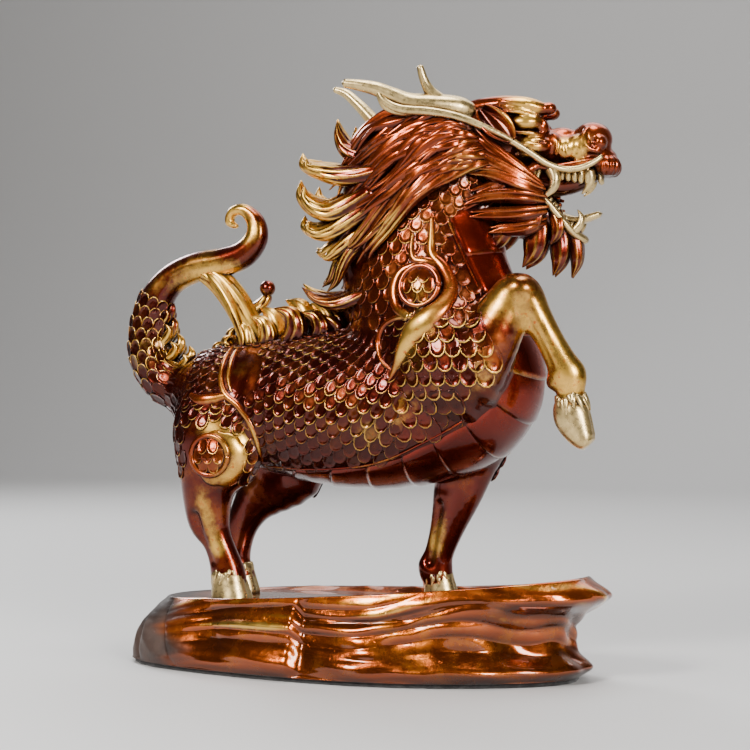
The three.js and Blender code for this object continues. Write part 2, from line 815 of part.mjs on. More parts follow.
const ornament = new THREE.Group();
ornament.name = "qilin_figure";
ornament.add(
  qilin,
  named("rock_base", rockGeometry(), amberLacquer),
  named("felt_pad", padGeometry(), blackFelt),
);

export default ornament;
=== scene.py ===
"""A lacquered qilin figure that prances on a carved rock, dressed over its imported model."""
import math

import bpy
import numpy as np
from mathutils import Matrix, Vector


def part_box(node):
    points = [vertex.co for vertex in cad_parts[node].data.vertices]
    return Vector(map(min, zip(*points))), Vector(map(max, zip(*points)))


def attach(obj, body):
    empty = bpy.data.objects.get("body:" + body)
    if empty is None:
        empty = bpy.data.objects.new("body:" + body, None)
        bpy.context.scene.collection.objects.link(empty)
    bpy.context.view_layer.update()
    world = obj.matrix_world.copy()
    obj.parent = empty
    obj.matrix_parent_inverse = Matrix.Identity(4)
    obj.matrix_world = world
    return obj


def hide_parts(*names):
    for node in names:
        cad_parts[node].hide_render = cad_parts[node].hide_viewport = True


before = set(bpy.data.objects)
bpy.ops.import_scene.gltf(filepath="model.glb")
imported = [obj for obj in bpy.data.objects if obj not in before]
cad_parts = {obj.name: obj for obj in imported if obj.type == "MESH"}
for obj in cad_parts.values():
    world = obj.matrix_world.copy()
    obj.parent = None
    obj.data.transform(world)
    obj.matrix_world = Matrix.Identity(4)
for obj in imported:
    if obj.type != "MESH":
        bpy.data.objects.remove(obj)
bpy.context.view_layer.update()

import openvdb
from bpy.props import FloatProperty, FloatVectorProperty, IntProperty, PointerProperty
from mathutils import Vector
from mathutils.bvhtree import BVHTree

bl_info = {
    "name": "Qilin figure",
    "version": (1, 0, 0),
    "blender": (4, 5, 0),
    "location": "View3D > Sidebar > Qilin",
    "description": "Builds a lacquered qilin figure on a carved rock",
    "category": "Add Mesh",
}

FIGURE_BOX = [np.array(corner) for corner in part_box("qilin")]
PAD_BOX = [np.array(corner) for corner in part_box("felt_pad")]

# The figure is drawn in millimetres from the ground between its hooves, +X to the head, +Y to its left.
DRAWN_HEIGHT = 184.6
DRAWN_LOW = np.array([-93.6, -30.4, 0.0])
FIGURE_SCALE = (FIGURE_BOX[1][2] - FIGURE_BOX[0][2]) / DRAWN_HEIGHT
FIGURE_ORIGIN = FIGURE_BOX[0] - FIGURE_SCALE * DRAWN_LOW

# The head's own frame: x to the nose, y to its left, z to the crown.
HEAD_PLACE = np.array([33.0, 1.5, 157.0])
HEAD_TURN = math.radians(12)

# The photograph's camera: a level view from the figure's right, a little from the front.
VIEW_TURN = math.radians(22)
VIEW_DISTANCE = 0.700
VIEW_HEIGHT = 0.103
VIEW_SIDESTEP = 0.00245
VIEW_LENS_MM = 96

SIDES = (-1, 1)
SIDEWAYS = np.array([0.0, 1.0, 0.0])
UPWARD = np.array([0.0, 0.0, 1.0])
# A distance to the side that is clear of the figure, from which its flanks are touched.
OUTSIDE = 60
# The greatest depth that a voxel block keeps; all that is further out is alike.
FAR = 4.0


# Curves and frames

def turned(points):
    """Puts points of the head's frame into the figure's."""
    c, s = math.cos(HEAD_TURN), math.sin(HEAD_TURN)
    return np.asarray(points, float) @ np.array([[c, s, 0], [-s, c, 0], [0, 0, 1]]) + HEAD_PLACE


def head_stations(stations):
    """Turns stations of the head's frame, keeping their half sizes."""
    rows = np.array(stations, float)
    rows[:, :3] = turned(rows[:, :3])
    return rows


def on_side(side, stations):
    """Mirrors stations to one side: -1 is the figure's right."""
    rows = np.array(stations, float)
    rows[:, 1] *= side
    return rows


def through(stations, per_span):
    """Samples a smooth curve through rows of numbers."""
    rows = np.array(stations, float)
    padded = np.vstack([2 * rows[0] - rows[1], rows, 2 * rows[-1] - rows[-2]])
    t = (np.arange(per_span) / per_span)[:, None]
    samples = []
    for a, b, c, d in zip(padded, padded[1:], padded[2:], padded[3:]):
        samples.append(0.5 * (2 * b + (c - a) * t + (2 * a - 5 * b + 4 * c - d) * t**2
                              + (3 * b - a - 3 * c + d) * t**3))
    return np.vstack(samples + [rows[-1:]])


def unit(vectors):
    """The same vectors, one long."""
    return vectors / np.maximum(np.linalg.norm(vectors, axis=-1, keepdims=True), 1e-9)


def frames_along(points, across=SIDEWAYS):
    """Tangents of a line of points, with the width and depth directions square to them."""
    along = unit(np.gradient(points, axis=0))
    wide = unit(across - along * (along @ across)[:, None])
    return along, wide, np.cross(along, wide)


def soft_step(low, high, value):
    """Rises smoothly from nought at low to one at high."""
    t = np.clip((value - low) / (high - low), 0, 1)
    return t * t * (3 - 2 * t)


# Voxel modelling

# Samples of a limb between two of its stations, and its least half size.
LIMB_STEPS = 4
LIMB_LEAST = 0.3
# How far a smoothing step pulls a point in between its neighbours, and how far the next pushes it out.
PULL = 0.5
PUSH = 1.04 * PULL


def oval_form(offsets, halves):
    """Distance from an ellipsoid, from the offsets along its axes and its half sizes."""
    size = np.sqrt(sum(off**2 for off in offsets))
    share = np.sqrt(sum((off / half)**2 for off, half in zip(offsets, halves)))
    return size * (1 - 1 / np.maximum(share, 1e-3))


class Clay:
    """A block of voxels that forms are joined into and cut from, and that comes out as a skin."""

    def __init__(self, low, high, voxel):
        self.low = np.array(low, float)
        self.voxel = voxel
        self.shape = np.ceil((np.array(high) - self.low) / voxel).astype(int) + 1
        self.depth = np.full(self.shape, FAR, np.float32)

    def window(self, low, high):
        """The voxels between two corners, with their coordinates."""
        first = np.clip(((np.array(low) - self.low) / self.voxel).astype(int), 0, self.shape - 1)
        last = np.clip(((np.array(high) - self.low) / self.voxel).astype(int) + 2, 1, self.shape)
        place = tuple(slice(a, b) for a, b in zip(first, last))
        steps = [np.arange(a, b, dtype=np.float32) for a, b in zip(first, last)]
        axes = [corner + self.voxel * step for corner, step in zip(self.low, steps)]
        return place, np.meshgrid(*axes, indexing="ij", sparse=True)

    def work_in(self, place, form, blend, cut):
        """Joins a form or cuts it out, with the seam rounded over the blend."""
        sign = -1 if cut else 1
        here = sign * self.depth[place]
        mix = np.clip(0.5 + 0.5 * (here - form) / blend, 0, 1)
        self.depth[place] = sign * (here * (1 - mix) + form * mix - blend * mix * (1 - mix))

    def ball(self, centre, radii, blend=2.0, tilt=0.0, cut=False):
        """An ellipsoid, tilted about Y by degrees."""
        centre = np.array(centre, float)
        reach = max(radii) + FAR
        place, (x, y, z) = self.window(centre - reach, centre + reach)
        x, y, z = x - centre[0], y - centre[1], z - centre[2]
        c, s = math.cos(math.radians(tilt)), math.sin(math.radians(tilt))
        form = oval_form((c * x - s * z, y, s * x + c * z), radii)
        self.work_in(place, np.minimum(form, FAR).astype(np.float32), blend, cut)

    def limb(self, stations, blend=2.0, cut=False):
        """A body swept through stations [x, y, z, half width, half depth]."""
        rows = through(stations, LIMB_STEPS)
        points, half = rows[:, :3], np.maximum(rows[:, 3:], LIMB_LEAST)
        _, wide, deep = frames_along(points)
        reach = half.max(1)[:, None] + FAR
        place, _ = self.window((points - reach).min(0), (points + reach).max(0))
        form = np.full(self.depth[place].shape, FAR, np.float32)
        corner = [part.start for part in place]
        for i in range(len(points) - 1):
            a, b = points[i], points[i + 1]
            span = b - a
            length = max(np.linalg.norm(span), 1e-6)
            low = np.minimum(a - reach[i], b - reach[i + 1])
            high = np.maximum(a + reach[i], b + reach[i + 1])
            part, spot = self.window(low, high)
            part = tuple(slice(max(p.start - f, 0), p.stop - f) for p, f in zip(part, corner))
            t = np.clip(sum((spot[k] - a[k]) * span[k] for k in range(3)) / length**2, 0, 1)
            off = [spot[k] - (a[k] + t * span[k]) for k in range(3)]
            in_wide = sum(off[k] * (wide[i][k] + t * (wide[i + 1][k] - wide[i][k])) for k in range(3))
            in_deep = sum(off[k] * (deep[i][k] + t * (deep[i + 1][k] - deep[i][k])) for k in range(3))
            ahead = sum(off[k] * span[k] / length for k in range(3))
            half_wide, half_deep = (half[i][k] + t * (half[i + 1][k] - half[i][k]) for k in range(2))
            halves = (half_wide, half_deep, np.minimum(half_wide, half_deep))
            form[part] = np.minimum(form[part], oval_form((in_wide, in_deep, ahead), halves))
        self.work_in(place, form, blend, cut)

    def soften(self):
        """Rounds off the steps between joined forms."""
        for axis in range(3):
            around = np.roll(self.depth, -1, axis) + np.roll(self.depth, 1, axis)
            self.depth = (0.5 * self.depth + 0.25 * around).astype(np.float32)

    def skin(self):
        """The surface as corner points and four-sided faces, its largest body alone."""
        grid = openvdb.FloatGrid(background=FAR)
        grid.copyFromArray(self.depth)
        points, _, faces = grid.convertToPolygons(isovalue=0.0, adaptivity=0.0)
        points = self.low + points.astype(float) * self.voxel
        faces = faces.astype(int)
        group = np.arange(len(points))
        while True:
            least = group[faces].min(1)
            before = group.copy()
            for corner in range(4):
                np.minimum.at(group, faces[:, corner], least)
            group = group[group]
            if np.array_equal(before, group):
                break
        main = np.bincount(group).argmax()
        faces = faces[group[faces[:, 0]] == main]
        used = np.unique(faces)
        renumber = np.full(len(points), -1)
        renumber[used] = np.arange(len(used))
        return points[used], renumber[faces]


def smoothed(points, faces, times):
    """Evens out a skin without shrinking it."""
    edges = np.vstack([faces[:, [0, 1]], faces[:, [1, 2]], faces[:, [2, 3]], faces[:, [3, 0]]])
    starts, ends = edges.T
    count = np.maximum(np.bincount(starts, minlength=len(points)), 1)[:, None]
    for pull in (PULL, -PUSH) * times:
        total = [np.bincount(starts, points[ends, k], len(points)) for k in range(3)]
        points = points + pull * (np.stack(total, 1) / count - points)
    return points


# Lofted forms

def tube_faces(rings, around):
    """Four-sided faces between rings of points."""
    faces = []
    for i in range(rings - 1):
        for j in range(around):
            here, beside = i * around + j, i * around + (j + 1) % around
            faces.append((here, beside, beside + around, here + around))
    return faces


def fan_faces(middle, start, around):
    """Three-sided faces from a ring of points to one in its middle."""
    return [(middle, start + j, start + (j + 1) % around) for j in range(around)]


def turned_over(faces):
    """The same faces, seen from their other side."""
    return [face[:1] + face[:0:-1] for face in faces]


def closed_tube_faces(rings, around):
    """Faces of a tube whose two end points follow its rings."""
    count = rings * around
    ends = turned_over(fan_faces(count, 0, around)) + fan_faces(count + 1, count - around, around)
    return tube_faces(rings, around) + ends


def slab_faces(rows, columns):
    """Faces of a sheet of rows by columns of points, of its back, which follows it, and of its rim."""
    count = rows * columns
    faces = []
    for i in range(rows - 1):
        for j in range(columns - 1):
            a = i * columns + j
            sheet = (a, a + 1, a + columns + 1, a + columns)
            faces.append(sheet)
            faces.append(tuple(count + corner for corner in reversed(sheet)))
    rim = [*range(columns), *range(2 * columns - 1, count, columns),
           *range(count - 2, count - columns - 1, -1), *range(count - 2 * columns, 0, -columns)]
    for a, b in zip(rim, rim[1:] + rim[:1]):
        faces.append((a, count + a, count + b, b))
    return faces


def ring_turns(around):
    """Evenly spaced angles round a ring."""
    return 2 * np.pi * np.arange(around) / around


class Bundle:
    """Gathers many closed forms into one mesh, with values carried on their points."""

    def __init__(self):
        self.points = []
        self.faces = []
        self.values = []
        self.count = 0

    def add(self, points, faces, ridge):
        """Takes in a form, with one ridge value or one for each of its points."""
        self.points.append(np.asarray(points, float))
        self.values.append(np.broadcast_to(np.asarray(ridge, float), len(points)))
        self.faces.extend([[corner + self.count for corner in face] for face in faces])
        self.count += len(points)

    def loft(self, stations, around=16, per_span=6, across=SIDEWAYS, groove=None, head=False, blunt=0.6):
        """Sweeps an oval through stations [x, y, z, half width, half depth].

        groove(angle, share) gives each point's share of the half size and its ridge value.
        """
        rows = through(head_stations(stations) if head else stations, per_span)
        centre, half = rows[:, :3], np.maximum(rows[:, 3:5], 0.12)
        along, wide, deep = frames_along(centre, np.asarray(across, float))
        angle, share = np.meshgrid(ring_turns(around), np.linspace(0, 1, len(rows)))
        size, ridge = groove(angle, share) if groove else (1.0, 0.5)
        size = np.broadcast_to(size, angle.shape)[..., None]
        ridge = np.broadcast_to(ridge, angle.shape)
        offset = (np.cos(angle)[..., None] * wide[:, None] * half[:, None, :1]
                  + np.sin(angle)[..., None] * deep[:, None] * half[:, None, 1:])
        points = (centre[:, None] + offset * size).reshape(-1, 3)
        start = centre[0] - along[0] * half[0].min() * blunt
        end = centre[-1] + along[-1] * half[-1].min() * blunt
        ends = [ridge[0].mean(), ridge[-1].mean()]
        self.add(np.vstack([points, start, end]), closed_tube_faces(len(rows), around),
                 np.concatenate([ridge.ravel(), ends]))

    def ball(self, centre, radii, around, ridge):
        """A closed ellipsoid."""
        rings = around // 2
        points = []
        for i in range(1, rings):
            tilt = math.pi * i / rings
            for turn in ring_turns(around):
                flat = math.sin(tilt)
                points.append((flat * math.cos(turn), flat * math.sin(turn), math.cos(tilt)))
        points += [(0, 0, 1), (0, 0, -1)]
        faces = turned_over(closed_tube_faces(rings - 1, around))
        self.add(np.array(points) * np.array(radii) + np.array(centre), faces, ridge)

    def make(self, name, material):
        """Makes the gathered forms into one piece of the casting."""
        return make_piece(name, np.vstack(self.points), self.faces, material, np.concatenate(self.values))


def strands(count, depth, twist):
    """A groove pattern of rounded strands side by side, sharp where they meet."""
    def pattern(angle, share):
        crest = np.abs(np.sin(0.5 * count * (angle + twist * share)))
        fade = soft_step(0, 0.12, share) * (1 - soft_step(0.8, 1, share))
        return 1 - depth * fade * (1 - crest), crest**0.8
    return pattern


def tapered(points, wide, thick, power=0.75, belly=0.0, root=1.0):
    """Stations of a lock of hair that ends in a point, with an optional belly and a slimmer root."""
    rows = []
    for i, point in enumerate(points):
        t = i / (len(points) - 1)
        size = (1 - t)**power * (1 + belly * math.sin(math.pi * t))
        size *= root + (1 - root) * soft_step(0, 0.2, t)
        rows.append([*point, 0.2 + wide * size, 0.2 + thick * size])
    return rows


def add_values(mesh, label, numbers):
    """Puts a value on each point of a mesh, for its material to read."""
    layer = mesh.attributes.get(label) or mesh.attributes.new(label, "FLOAT", "POINT")
    layer.data.foreach_set("value", np.asarray(numbers, np.float32))


def make_piece(name, points, faces, material, ridge, node="qilin"):
    """Makes a smooth-shaded piece from drawn points and hangs it on the casting."""
    mesh = bpy.data.meshes.new(name)
    placed = FIGURE_ORIGIN + FIGURE_SCALE * np.asarray(points, float)
    mesh.from_pydata(placed.tolist(), [], faces if isinstance(faces, list) else faces.tolist())
    mesh.update()
    mesh.polygons.foreach_set("use_smooth", np.ones(len(mesh.polygons), bool))
    add_values(mesh, "ridge", np.broadcast_to(ridge, len(points)))
    add_values(mesh, "gilt", gilding(points))
    mesh.materials.append(material)
    piece = bpy.data.objects.new(name, mesh)
    bpy.context.scene.collection.objects.link(piece)
    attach(piece, "root")
    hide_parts(node)
    return piece


# Where the gold shows through the lacquer: [x, y, z, reach, strength] in the drawn figure.
GILT_SPOTS = [
    # The raised foreleg, the shoulder and the hips.
    (54, -19, 101, 9, 0.9), (61, -18, 107, 9, 0.97), (67, -17, 99, 9, 0.82), (73, -17, 89, 9, 0.9),
    (78, -16, 80, 9, 1), (80, -16, 68, 9, 1), (24, -28, 88, 6, 0.8), (29, -28, 96, 8, 1),
    (29, 28, 96, 8, 0.9), (-41, -23, 55, 9, 1), (-45, -23, 47, 7, 0.75), (-50, -24, 62, 7, 0.7),
    (-36, 23, 54, 9, 0.9), (-40, 23, 44, 9, 0.8),
    # The standing legs: gold down their front edges, partly rubbed gilding and partly a painted highlight.
    (-54.5, -21, 39, 4.5, 0.3), (-54, -20.5, 34, 4.5, 0.4), (-53, -19.5, 29, 4.5, 0.45),
    (-51.5, -18.5, 24, 4.5, 0.45), (-50, -18, 18.5, 4.5, 0.75), (26, 8, 31, 4.5, 0.35),
    (24, 8, 26, 4.5, 0.5), (22, 9, 20, 5, 0.75), (21, 9, 14, 4, 0.4), (-54, 18, 30, 6, 0.5),
    (-55, 17.6, 24, 5, 0.5), (-56, 17, 18, 5, 0.6), (27, 19, 31, 6, 0.4), (24.6, 18.5, 26, 6, 0.5),
    (22, 18, 20, 6, 0.6),
    # The upper foreleg's scales, and the plates beside them.
    (46, -24, 87, 8, 0.95), (50, -24, 80, 7, 0.8), (40, -26, 77, 7, 0.65), (56, -16, 87, 7, 0.9),
    # The tail and its hair.
    (-86, -5, 103, 8, 0.5), (-80, -5, 112, 7, 0.45), (-68, -5, 119, 7, 0.4), (-44, -3, 130, 6, 0.6),
    (-87, -6, 84, 9, 0.9), (-88, -5, 94, 8, 0.6), (-80, 0, 92, 7, 1), (-74, 0, 84, 8, 1),
    (-70, 0, 82, 8, 0.9), (-72, 0, 114, 7, 0.6), (-62, -3, 116.5, 6, 0.55), (-51, -3, 118, 6, 0.5),
    (-74, 0, 120, 5, 0.4), (-60, 0, 124, 6, 0.6), (-52, -3, 107, 9, 1), (-57, 0, 113, 7, 1),
    (-45, 0, 96, 9, 0.9), (-46, 0, 131, 5, 0.9), (-50, 0, 139, 6, 0.9), (-53, 0, 134, 5, 0.9),
    (-56, 0, 86, 8, 0.8), (-40, 0, 99, 8, 0.9), (-31, 0, 100, 7, 0.9), (-24, 0, 102, 7, 1),
    (-16, 0, 101, 5, 0.8),
    # The tips of the mane, in the middle plane.
    (-24, 0, 155, 9, 1), (-23, 0, 143, 9, 1), (-21, 0, 132, 9, 1), (-16, 0, 122, 8, 0.9),
    (-22, 0, 110, 5, 0.7), (-11, 0, 165, 8, 1),
    # The worn near flank, and the far one.
    (11, -26, 62, 10, 0.55), (-24, -24, 64, 8, 0.5), (44, -24, 84, 9, 0.4), (-4, -24, 72, 7, 0.35),
    (22, -27, 70, 10, 0.4), (36, -28, 80, 10, 0.45), (26, 27, 74, 12, 0.4),
]
# The same on both sides: the shoulders, the rump, the mane, the flanks and the neck.
PAIRED_GILT_SPOTS = [
    (29, 26, 108, 8, 1), (-42, 17, 82, 8, 0.3), (-15, 12, 147, 10, 0.9), (-12, 14, 134, 10, 0.8),
    (-10, 14, 122, 8, 0.6), (0, 17, 128, 7, 0.4), (-12, 24, 62, 9, 0.5), (8, 26, 56, 8, 0.6),
    (-14, 20, 84, 12, 0.4), (16, 20, 128, 8, 0.45), (32, 18, 126, 7, 0.3),
]
# The same on both sides of the face, in the head's frame.
FACE_GILT_SPOTS = [
    (24, 8, 14, 7.5, 0.85), (16, 8, 15, 5, 0.5), (24, 11, 8.5, 4.5, 0.7), (25.4, 11, 0, 6, 0.8),
    (41, 7.5, -1, 6, 0.85), (36.5, 7, 0, 4.5, 0.65), (51, 3, -6.5, 5, 0.6), (6, 13, -8, 7, 0.25),
    (47, 7, 3, 6, 0.3),
]
# How fast the gold fades from the middle of a spot.
GILT_FALL = 1.2


def gilding(points):
    """How much gold shows at each point, from 0 to 1."""
    spots = list(GILT_SPOTS)
    for side in SIDES:
        spots += [(x, side * y, z, *rest) for x, y, z, *rest in PAIRED_GILT_SPOTS]
        spots += [(*turned([x, side * y, z]), *rest) for x, y, z, *rest in FACE_GILT_SPOTS]
    bare = np.ones(len(points))
    for x, y, z, reach, strength in spots:
        away = ((np.asarray(points) - (x, y, z))**2).sum(1) / reach**2
        bare *= 1 - strength * np.exp(-GILT_FALL * away)
    return 1 - bare


# Materials

def new_group(name, inputs, outputs):
    """A node group with named sockets; inputs are (label, kind, default) and outputs (label, kind)."""
    group = bpy.data.node_groups.new(name, "ShaderNodeTree")
    for label, kind, default in inputs:
        socket = group.interface.new_socket(label, in_out="INPUT", socket_type="NodeSocket" + kind)
        socket.default_value = default
    for label, kind in outputs:
        group.interface.new_socket(label, in_out="OUTPUT", socket_type="NodeSocket" + kind)
    wires = Wires(group)
    return wires, wires.node("NodeGroupInput").outputs, wires.node("NodeGroupOutput").inputs


class Wires:
    """Short names for making and linking nodes in one tree."""

    def __init__(self, tree):
        self.tree = tree

    def put(self, value, socket):
        """Links a socket's value to another socket, or sets it there."""
        if hasattr(value, "is_linked"):
            self.tree.links.new(value, socket)
        else:
            socket.default_value = value

    def node(self, kind, **settings):
        made = self.tree.nodes.new(kind)
        for key, value in settings.items():
            setattr(made, key, value)
        return made

    def math(self, operation, a, b):
        made = self.node("ShaderNodeMath", operation=operation)
        self.put(a, made.inputs[0])
        self.put(b, made.inputs[1])
        return made.outputs[0]

    def times(self, a, b):
        return self.math("MULTIPLY", a, b)

    def plus(self, a, b):
        return self.math("ADD", a, b)

    def minus(self, a, b):
        return self.math("SUBTRACT", a, b)

    def mix(self, factor, a, b):
        made = self.node("ShaderNodeMix", data_type="RGBA")
        for label, value in (("Factor", factor), ("A", a), ("B", b)):
            self.put(value, made.inputs[label])
        return made.outputs["Result"]

    def spread(self, value, low, high, to_low=0.0, to_high=1.0):
        """Maps a range of values softly to another."""
        made = self.node("ShaderNodeMapRange", interpolation_type="SMOOTHSTEP")
        for label, number in (("Value", value), ("From Min", low), ("From Max", high),
                              ("To Min", to_low), ("To Max", to_high)):
            self.put(number, made.inputs[label])
        return made.outputs["Result"]

    def noise(self, scale, detail, roughness):
        made = self.node("ShaderNodeTexNoise")
        for label, value in (("Scale", scale), ("Detail", detail), ("Roughness", roughness),
                             ("Vector", self.node("ShaderNodeTexCoord").outputs["Object"])):
            self.put(value, made.inputs[label])
        return made.outputs["Fac"]

    def attribute(self, name):
        return self.node("ShaderNodeAttribute", attribute_name=name).outputs["Fac"]

    def open_air(self, distance, closed, open_wide):
        """How open the surface is around a point, from 0 deep in a groove to 1."""
        occlusion = self.node("ShaderNodeAmbientOcclusion", samples=6)
        occlusion.inputs["Distance"].default_value = distance
        return self.spread(occlusion.outputs["AO"], closed, open_wide)

    def group(self, name, build, settings):
        """Places a shared node group, built once, with its own values."""
        placed = self.node("ShaderNodeGroup", node_tree=bpy.data.node_groups.get(name) or build(name))
        for label, value in settings.items():
            self.put(value, placed.inputs[label])
        return placed.outputs

    def bump(self, height, strength, distance):
        made = self.node("ShaderNodeBump")
        for label, value in (("Height", height), ("Strength", strength), ("Distance", distance)):
            self.put(value, made.inputs[label])
        return made.outputs["Normal"]


def lacquer_group(name):
    """Red lacquer over gold: dark in the grooves, partly lacquer gathered there and partly painted shade,
    with painted shade on the undersides; gold where the ridges are rubbed bare.
    """
    w, given, out = new_group(name, [
        ("Ridge", "Float", 0.5), ("Gilt", "Float", 0.0), ("Wear", "Float", 0.5),
        ("Pooled and shaded", "Color", (0.05, 0.008, 0.005, 1)), ("Lacquer", "Color", (0.32, 0.04, 0.015, 1)),
        ("Copper", "Color", (0.6, 0.2, 0.06, 1)), ("Gold", "Color", (0.78, 0.52, 0.2, 1)),
    ], [("Color", "Color"), ("Roughness", "Float"), ("Metallic", "Float")])
    cloud = w.noise(38, 5, 0.6)
    speck = w.noise(420, 3, 0.65)
    blotch = w.noise(120, 4, 0.6)
    open_air = w.open_air(0.0035, 0.35, 0.95)
    wet = w.mix(w.spread(cloud, 0.38, 0.64), given["Lacquer"], given["Copper"])
    wet = w.mix(w.times(w.spread(blotch, 0.42, 0.7), 0.5), given["Lacquer"], wet)
    # Painted shade: the colour darkens on the undersides, by how far the surface faces downwards.
    facing = w.node("ShaderNodeSeparateXYZ")
    w.put(w.node("ShaderNodeNewGeometry").outputs["Normal"], facing.inputs["Vector"])
    painted_underside_shade = w.spread(facing.outputs["Z"], -0.75, 0.2, 0.22, 1.0)
    # Darker in grooves and hollows, where the ambient occlusion finds the surface closed in and the ridge
    # value is low: partly lacquer gathered there, partly painted shade.
    thin = w.times(open_air, w.spread(given["Ridge"], 0.1, 0.7, 0.38, 1.0))
    body = w.mix(w.times(thin, painted_underside_shade), given["Pooled and shaded"], wet)
    # The gold shows where the region is rubbed and the point stands proud.
    proud = w.minus(w.times(given["Ridge"], open_air), 0.5)
    wanted = w.plus(w.times(given["Gilt"], 0.75), w.times(proud, given["Wear"]))
    wanted = w.plus(wanted, w.times(w.minus(cloud, 0.5), 0.55))
    wanted = w.plus(wanted, w.times(w.minus(speck, 0.5), 0.35))
    bare = w.times(w.spread(wanted, 0.22, 0.62), w.spread(open_air, 0.1, 0.7))
    aged = w.mix(w.spread(speck, 0.55, 0.72), given["Gold"], given["Copper"])
    w.put(w.mix(bare, body, aged), out["Color"])
    w.put(w.plus(w.spread(blotch, 0.3, 0.8, 0.2, 0.34), w.times(bare, 0.06)), out["Roughness"])
    w.put(w.plus(w.spread(open_air, 0.0, 1.0, 0.6, 0.9), w.times(bare, 0.09)), out["Metallic"])
    return w.tree


def grain_group(name):
    """The cast skin: soft ripples, fine grain and stray pits, as a height."""
    w, given, out = new_group(name, [
        ("Ripple", "Float", 0.5), ("Grain", "Float", 0.3), ("Pits", "Float", 0.3),
    ], [("Height", "Float")])
    ripple = w.times(w.noise(160, 2, 0.5), given["Ripple"])
    grain = w.times(w.noise(900, 4, 0.6), given["Grain"])
    pits = w.times(w.spread(w.noise(520, 2, 0.5), 0.68, 0.78), given["Pits"])
    w.put(w.minus(w.plus(ripple, grain), pits), out["Height"])
    return w.tree


def new_finish(name, **sockets):
    """A material with set values on its shader, whose wires and sockets are handed back with it."""
    material = bpy.data.materials.new(name)
    material.use_nodes = True
    shader = material.node_tree.nodes["Principled BSDF"].inputs
    for label, value in sockets.items():
        shader[label.replace("_", " ")].default_value = value
    return material, Wires(material.node_tree), shader


def place_lacquer(w, wear, gilt_gain, tones):
    """The rubbed lacquer in one material, with its own wear and its four colours."""
    colours = {label: (*tone, 1) for label, tone in zip(("Pooled and shaded", "Lacquer", "Copper", "Gold"), tones)}
    gilt = w.times(w.attribute("gilt"), gilt_gain)
    settings = {"Ridge": w.attribute("ridge"), "Gilt": gilt, "Wear": wear, **colours}
    return w.group("Rubbed lacquer", lacquer_group, settings)


# The lacquered finishes: wear, share of the gilding, weight of the coat, ripple, lacquer and thin lacquer.
LACQUERS = {
    "body_lacquer": (0.5, 1.0, 0.35, 0.5, "lacquer", "copper"),
    "scale_lacquer": (0.95, 0.9, 0.35, 0.5, "lacquer", "copper"),
    "plate_lacquer": (0.55, 0.5, 0.35, 0.8, "plate_red", "plate_glow"),
    # The neck's and the strands' thin lacquer carries a painted highlight.
    "neck_lacquer": (0.95, 0.8, 0.35, 0.5, "warm", "copper_and_highlight"),
    "ornament_lacquer": (0.55, 0.62, 0.35, 0.5, "warm", "copper"),
    "hair_lacquer": (0.8, 1.0, 0.35, 0.5, "lacquer", "copper"),
    "strand_lacquer": (0.55, 0.9, 0.35, 0.5, "warm", "copper_and_highlight"),
    "head_lacquer": (0.6, 1.0, 0.35, 0.5, "warm", "copper"),
}


def lacquer(name):
    """One of the lacquered finishes, made when it is first asked for."""
    return bpy.data.materials.get(name) or lacquer_material(name, *LACQUERS[name])


def lacquer_material(name, wear, gilt_gain, coat, ripple, main, thin):
    """A lacquered finish with its own wear and colours."""
    colours = bpy.context.scene.qilin_colours
    tones = (colours.pooled_and_shaded, getattr(colours, main), getattr(colours, thin), colours.gold)
    material, w, shader = new_finish(name, Coat_Weight=coat, Coat_Roughness=0.07, Coat_IOR=1.55)
    rubbed = place_lacquer(w, wear, gilt_gain, tones)
    for number, label in enumerate(("Base Color", "Roughness", "Metallic")):
        w.put(rubbed[number], shader[label])
    skin = w.group("Cast skin", grain_group, {"Ripple": ripple, "Grain": 0.25})
    w.put(w.bump(skin["Height"], 0.35, 0.0003), shader["Normal"])
    return material


def pale_brass():
    """Pale rubbed brass, darker in its hollows, made when it is first asked for."""
    name = "pale_brass"
    if name in bpy.data.materials:
        return bpy.data.materials[name]
    tones = bpy.context.scene.qilin_colours
    material, w, shader = new_finish(name, Metallic=0.92, Coat_Weight=0.25, Coat_Roughness=0.12)
    stain = w.spread(w.noise(240, 5, 0.65), 0.45, 0.72)
    tarnish = (*tones.tarnish, 1)
    worn = w.mix(w.times(stain, 0.45), (*tones.brass, 1), tarnish)
    w.put(w.mix(w.open_air(0.003, 0.3, 0.95), tarnish, worn), shader["Base Color"])
    w.put(w.spread(w.noise(500, 3, 0.6), 0.3, 0.75, 0.24, 0.4), shader["Roughness"])
    w.put(w.bump(w.group("Cast skin", grain_group, {})["Height"], 0.3, 0.0003), shader["Normal"])
    return material


# The body: trunk, neck, legs and tail in one skin

# Middles of the discs on the hips and the shoulders, [x, z].
HIP = (-49, 51.6)
FAR_HIP_SHIFT = 6.5
SHOULDER = (28.5, 109)

TORSO = [
    (-66, 0, 70, 9, 11), (-58, 0, 71, 16, 18), (-40, 0, 69.5, 20, 22), (-15, 0, 68, 24, 26.5),
    (9, 0, 69.5, 26, 29), (30, 0, 76, 25, 30), (42, 0, 82, 20, 24),
]
CHEST = ((33, 0, 78.5), (29.5, 25.5, 31))
NECK = [
    (30, 0, 82, 24, 30), (25, 0, 100, 23, 30), (24, 0, 116, 20, 26.5), (25, 0, 131, 17, 21),
    (29, 0.5, 145, 14.5, 17.5), (34, 1.2, 156, 13, 15),
]
NEAR_HIND = [
    (-50, -7, 74, 10, 15), (-53, -13, 62, 10.5, 14.5), (-54.4, -14, 49, 9.2, 12), (-55.6, -14, 37, 7, 9.4),
    (-55.2, -13.8, 28, 5.4, 7.8), (-52.4, -13.5, 22, 4.6, 5.7), (-50.2, -13.2, 16.5, 4.4, 5.5),
    (-48.4, -13, 11, 4.8, 6.2), (-47.6, -13, 7, 5.2, 6.6),
]
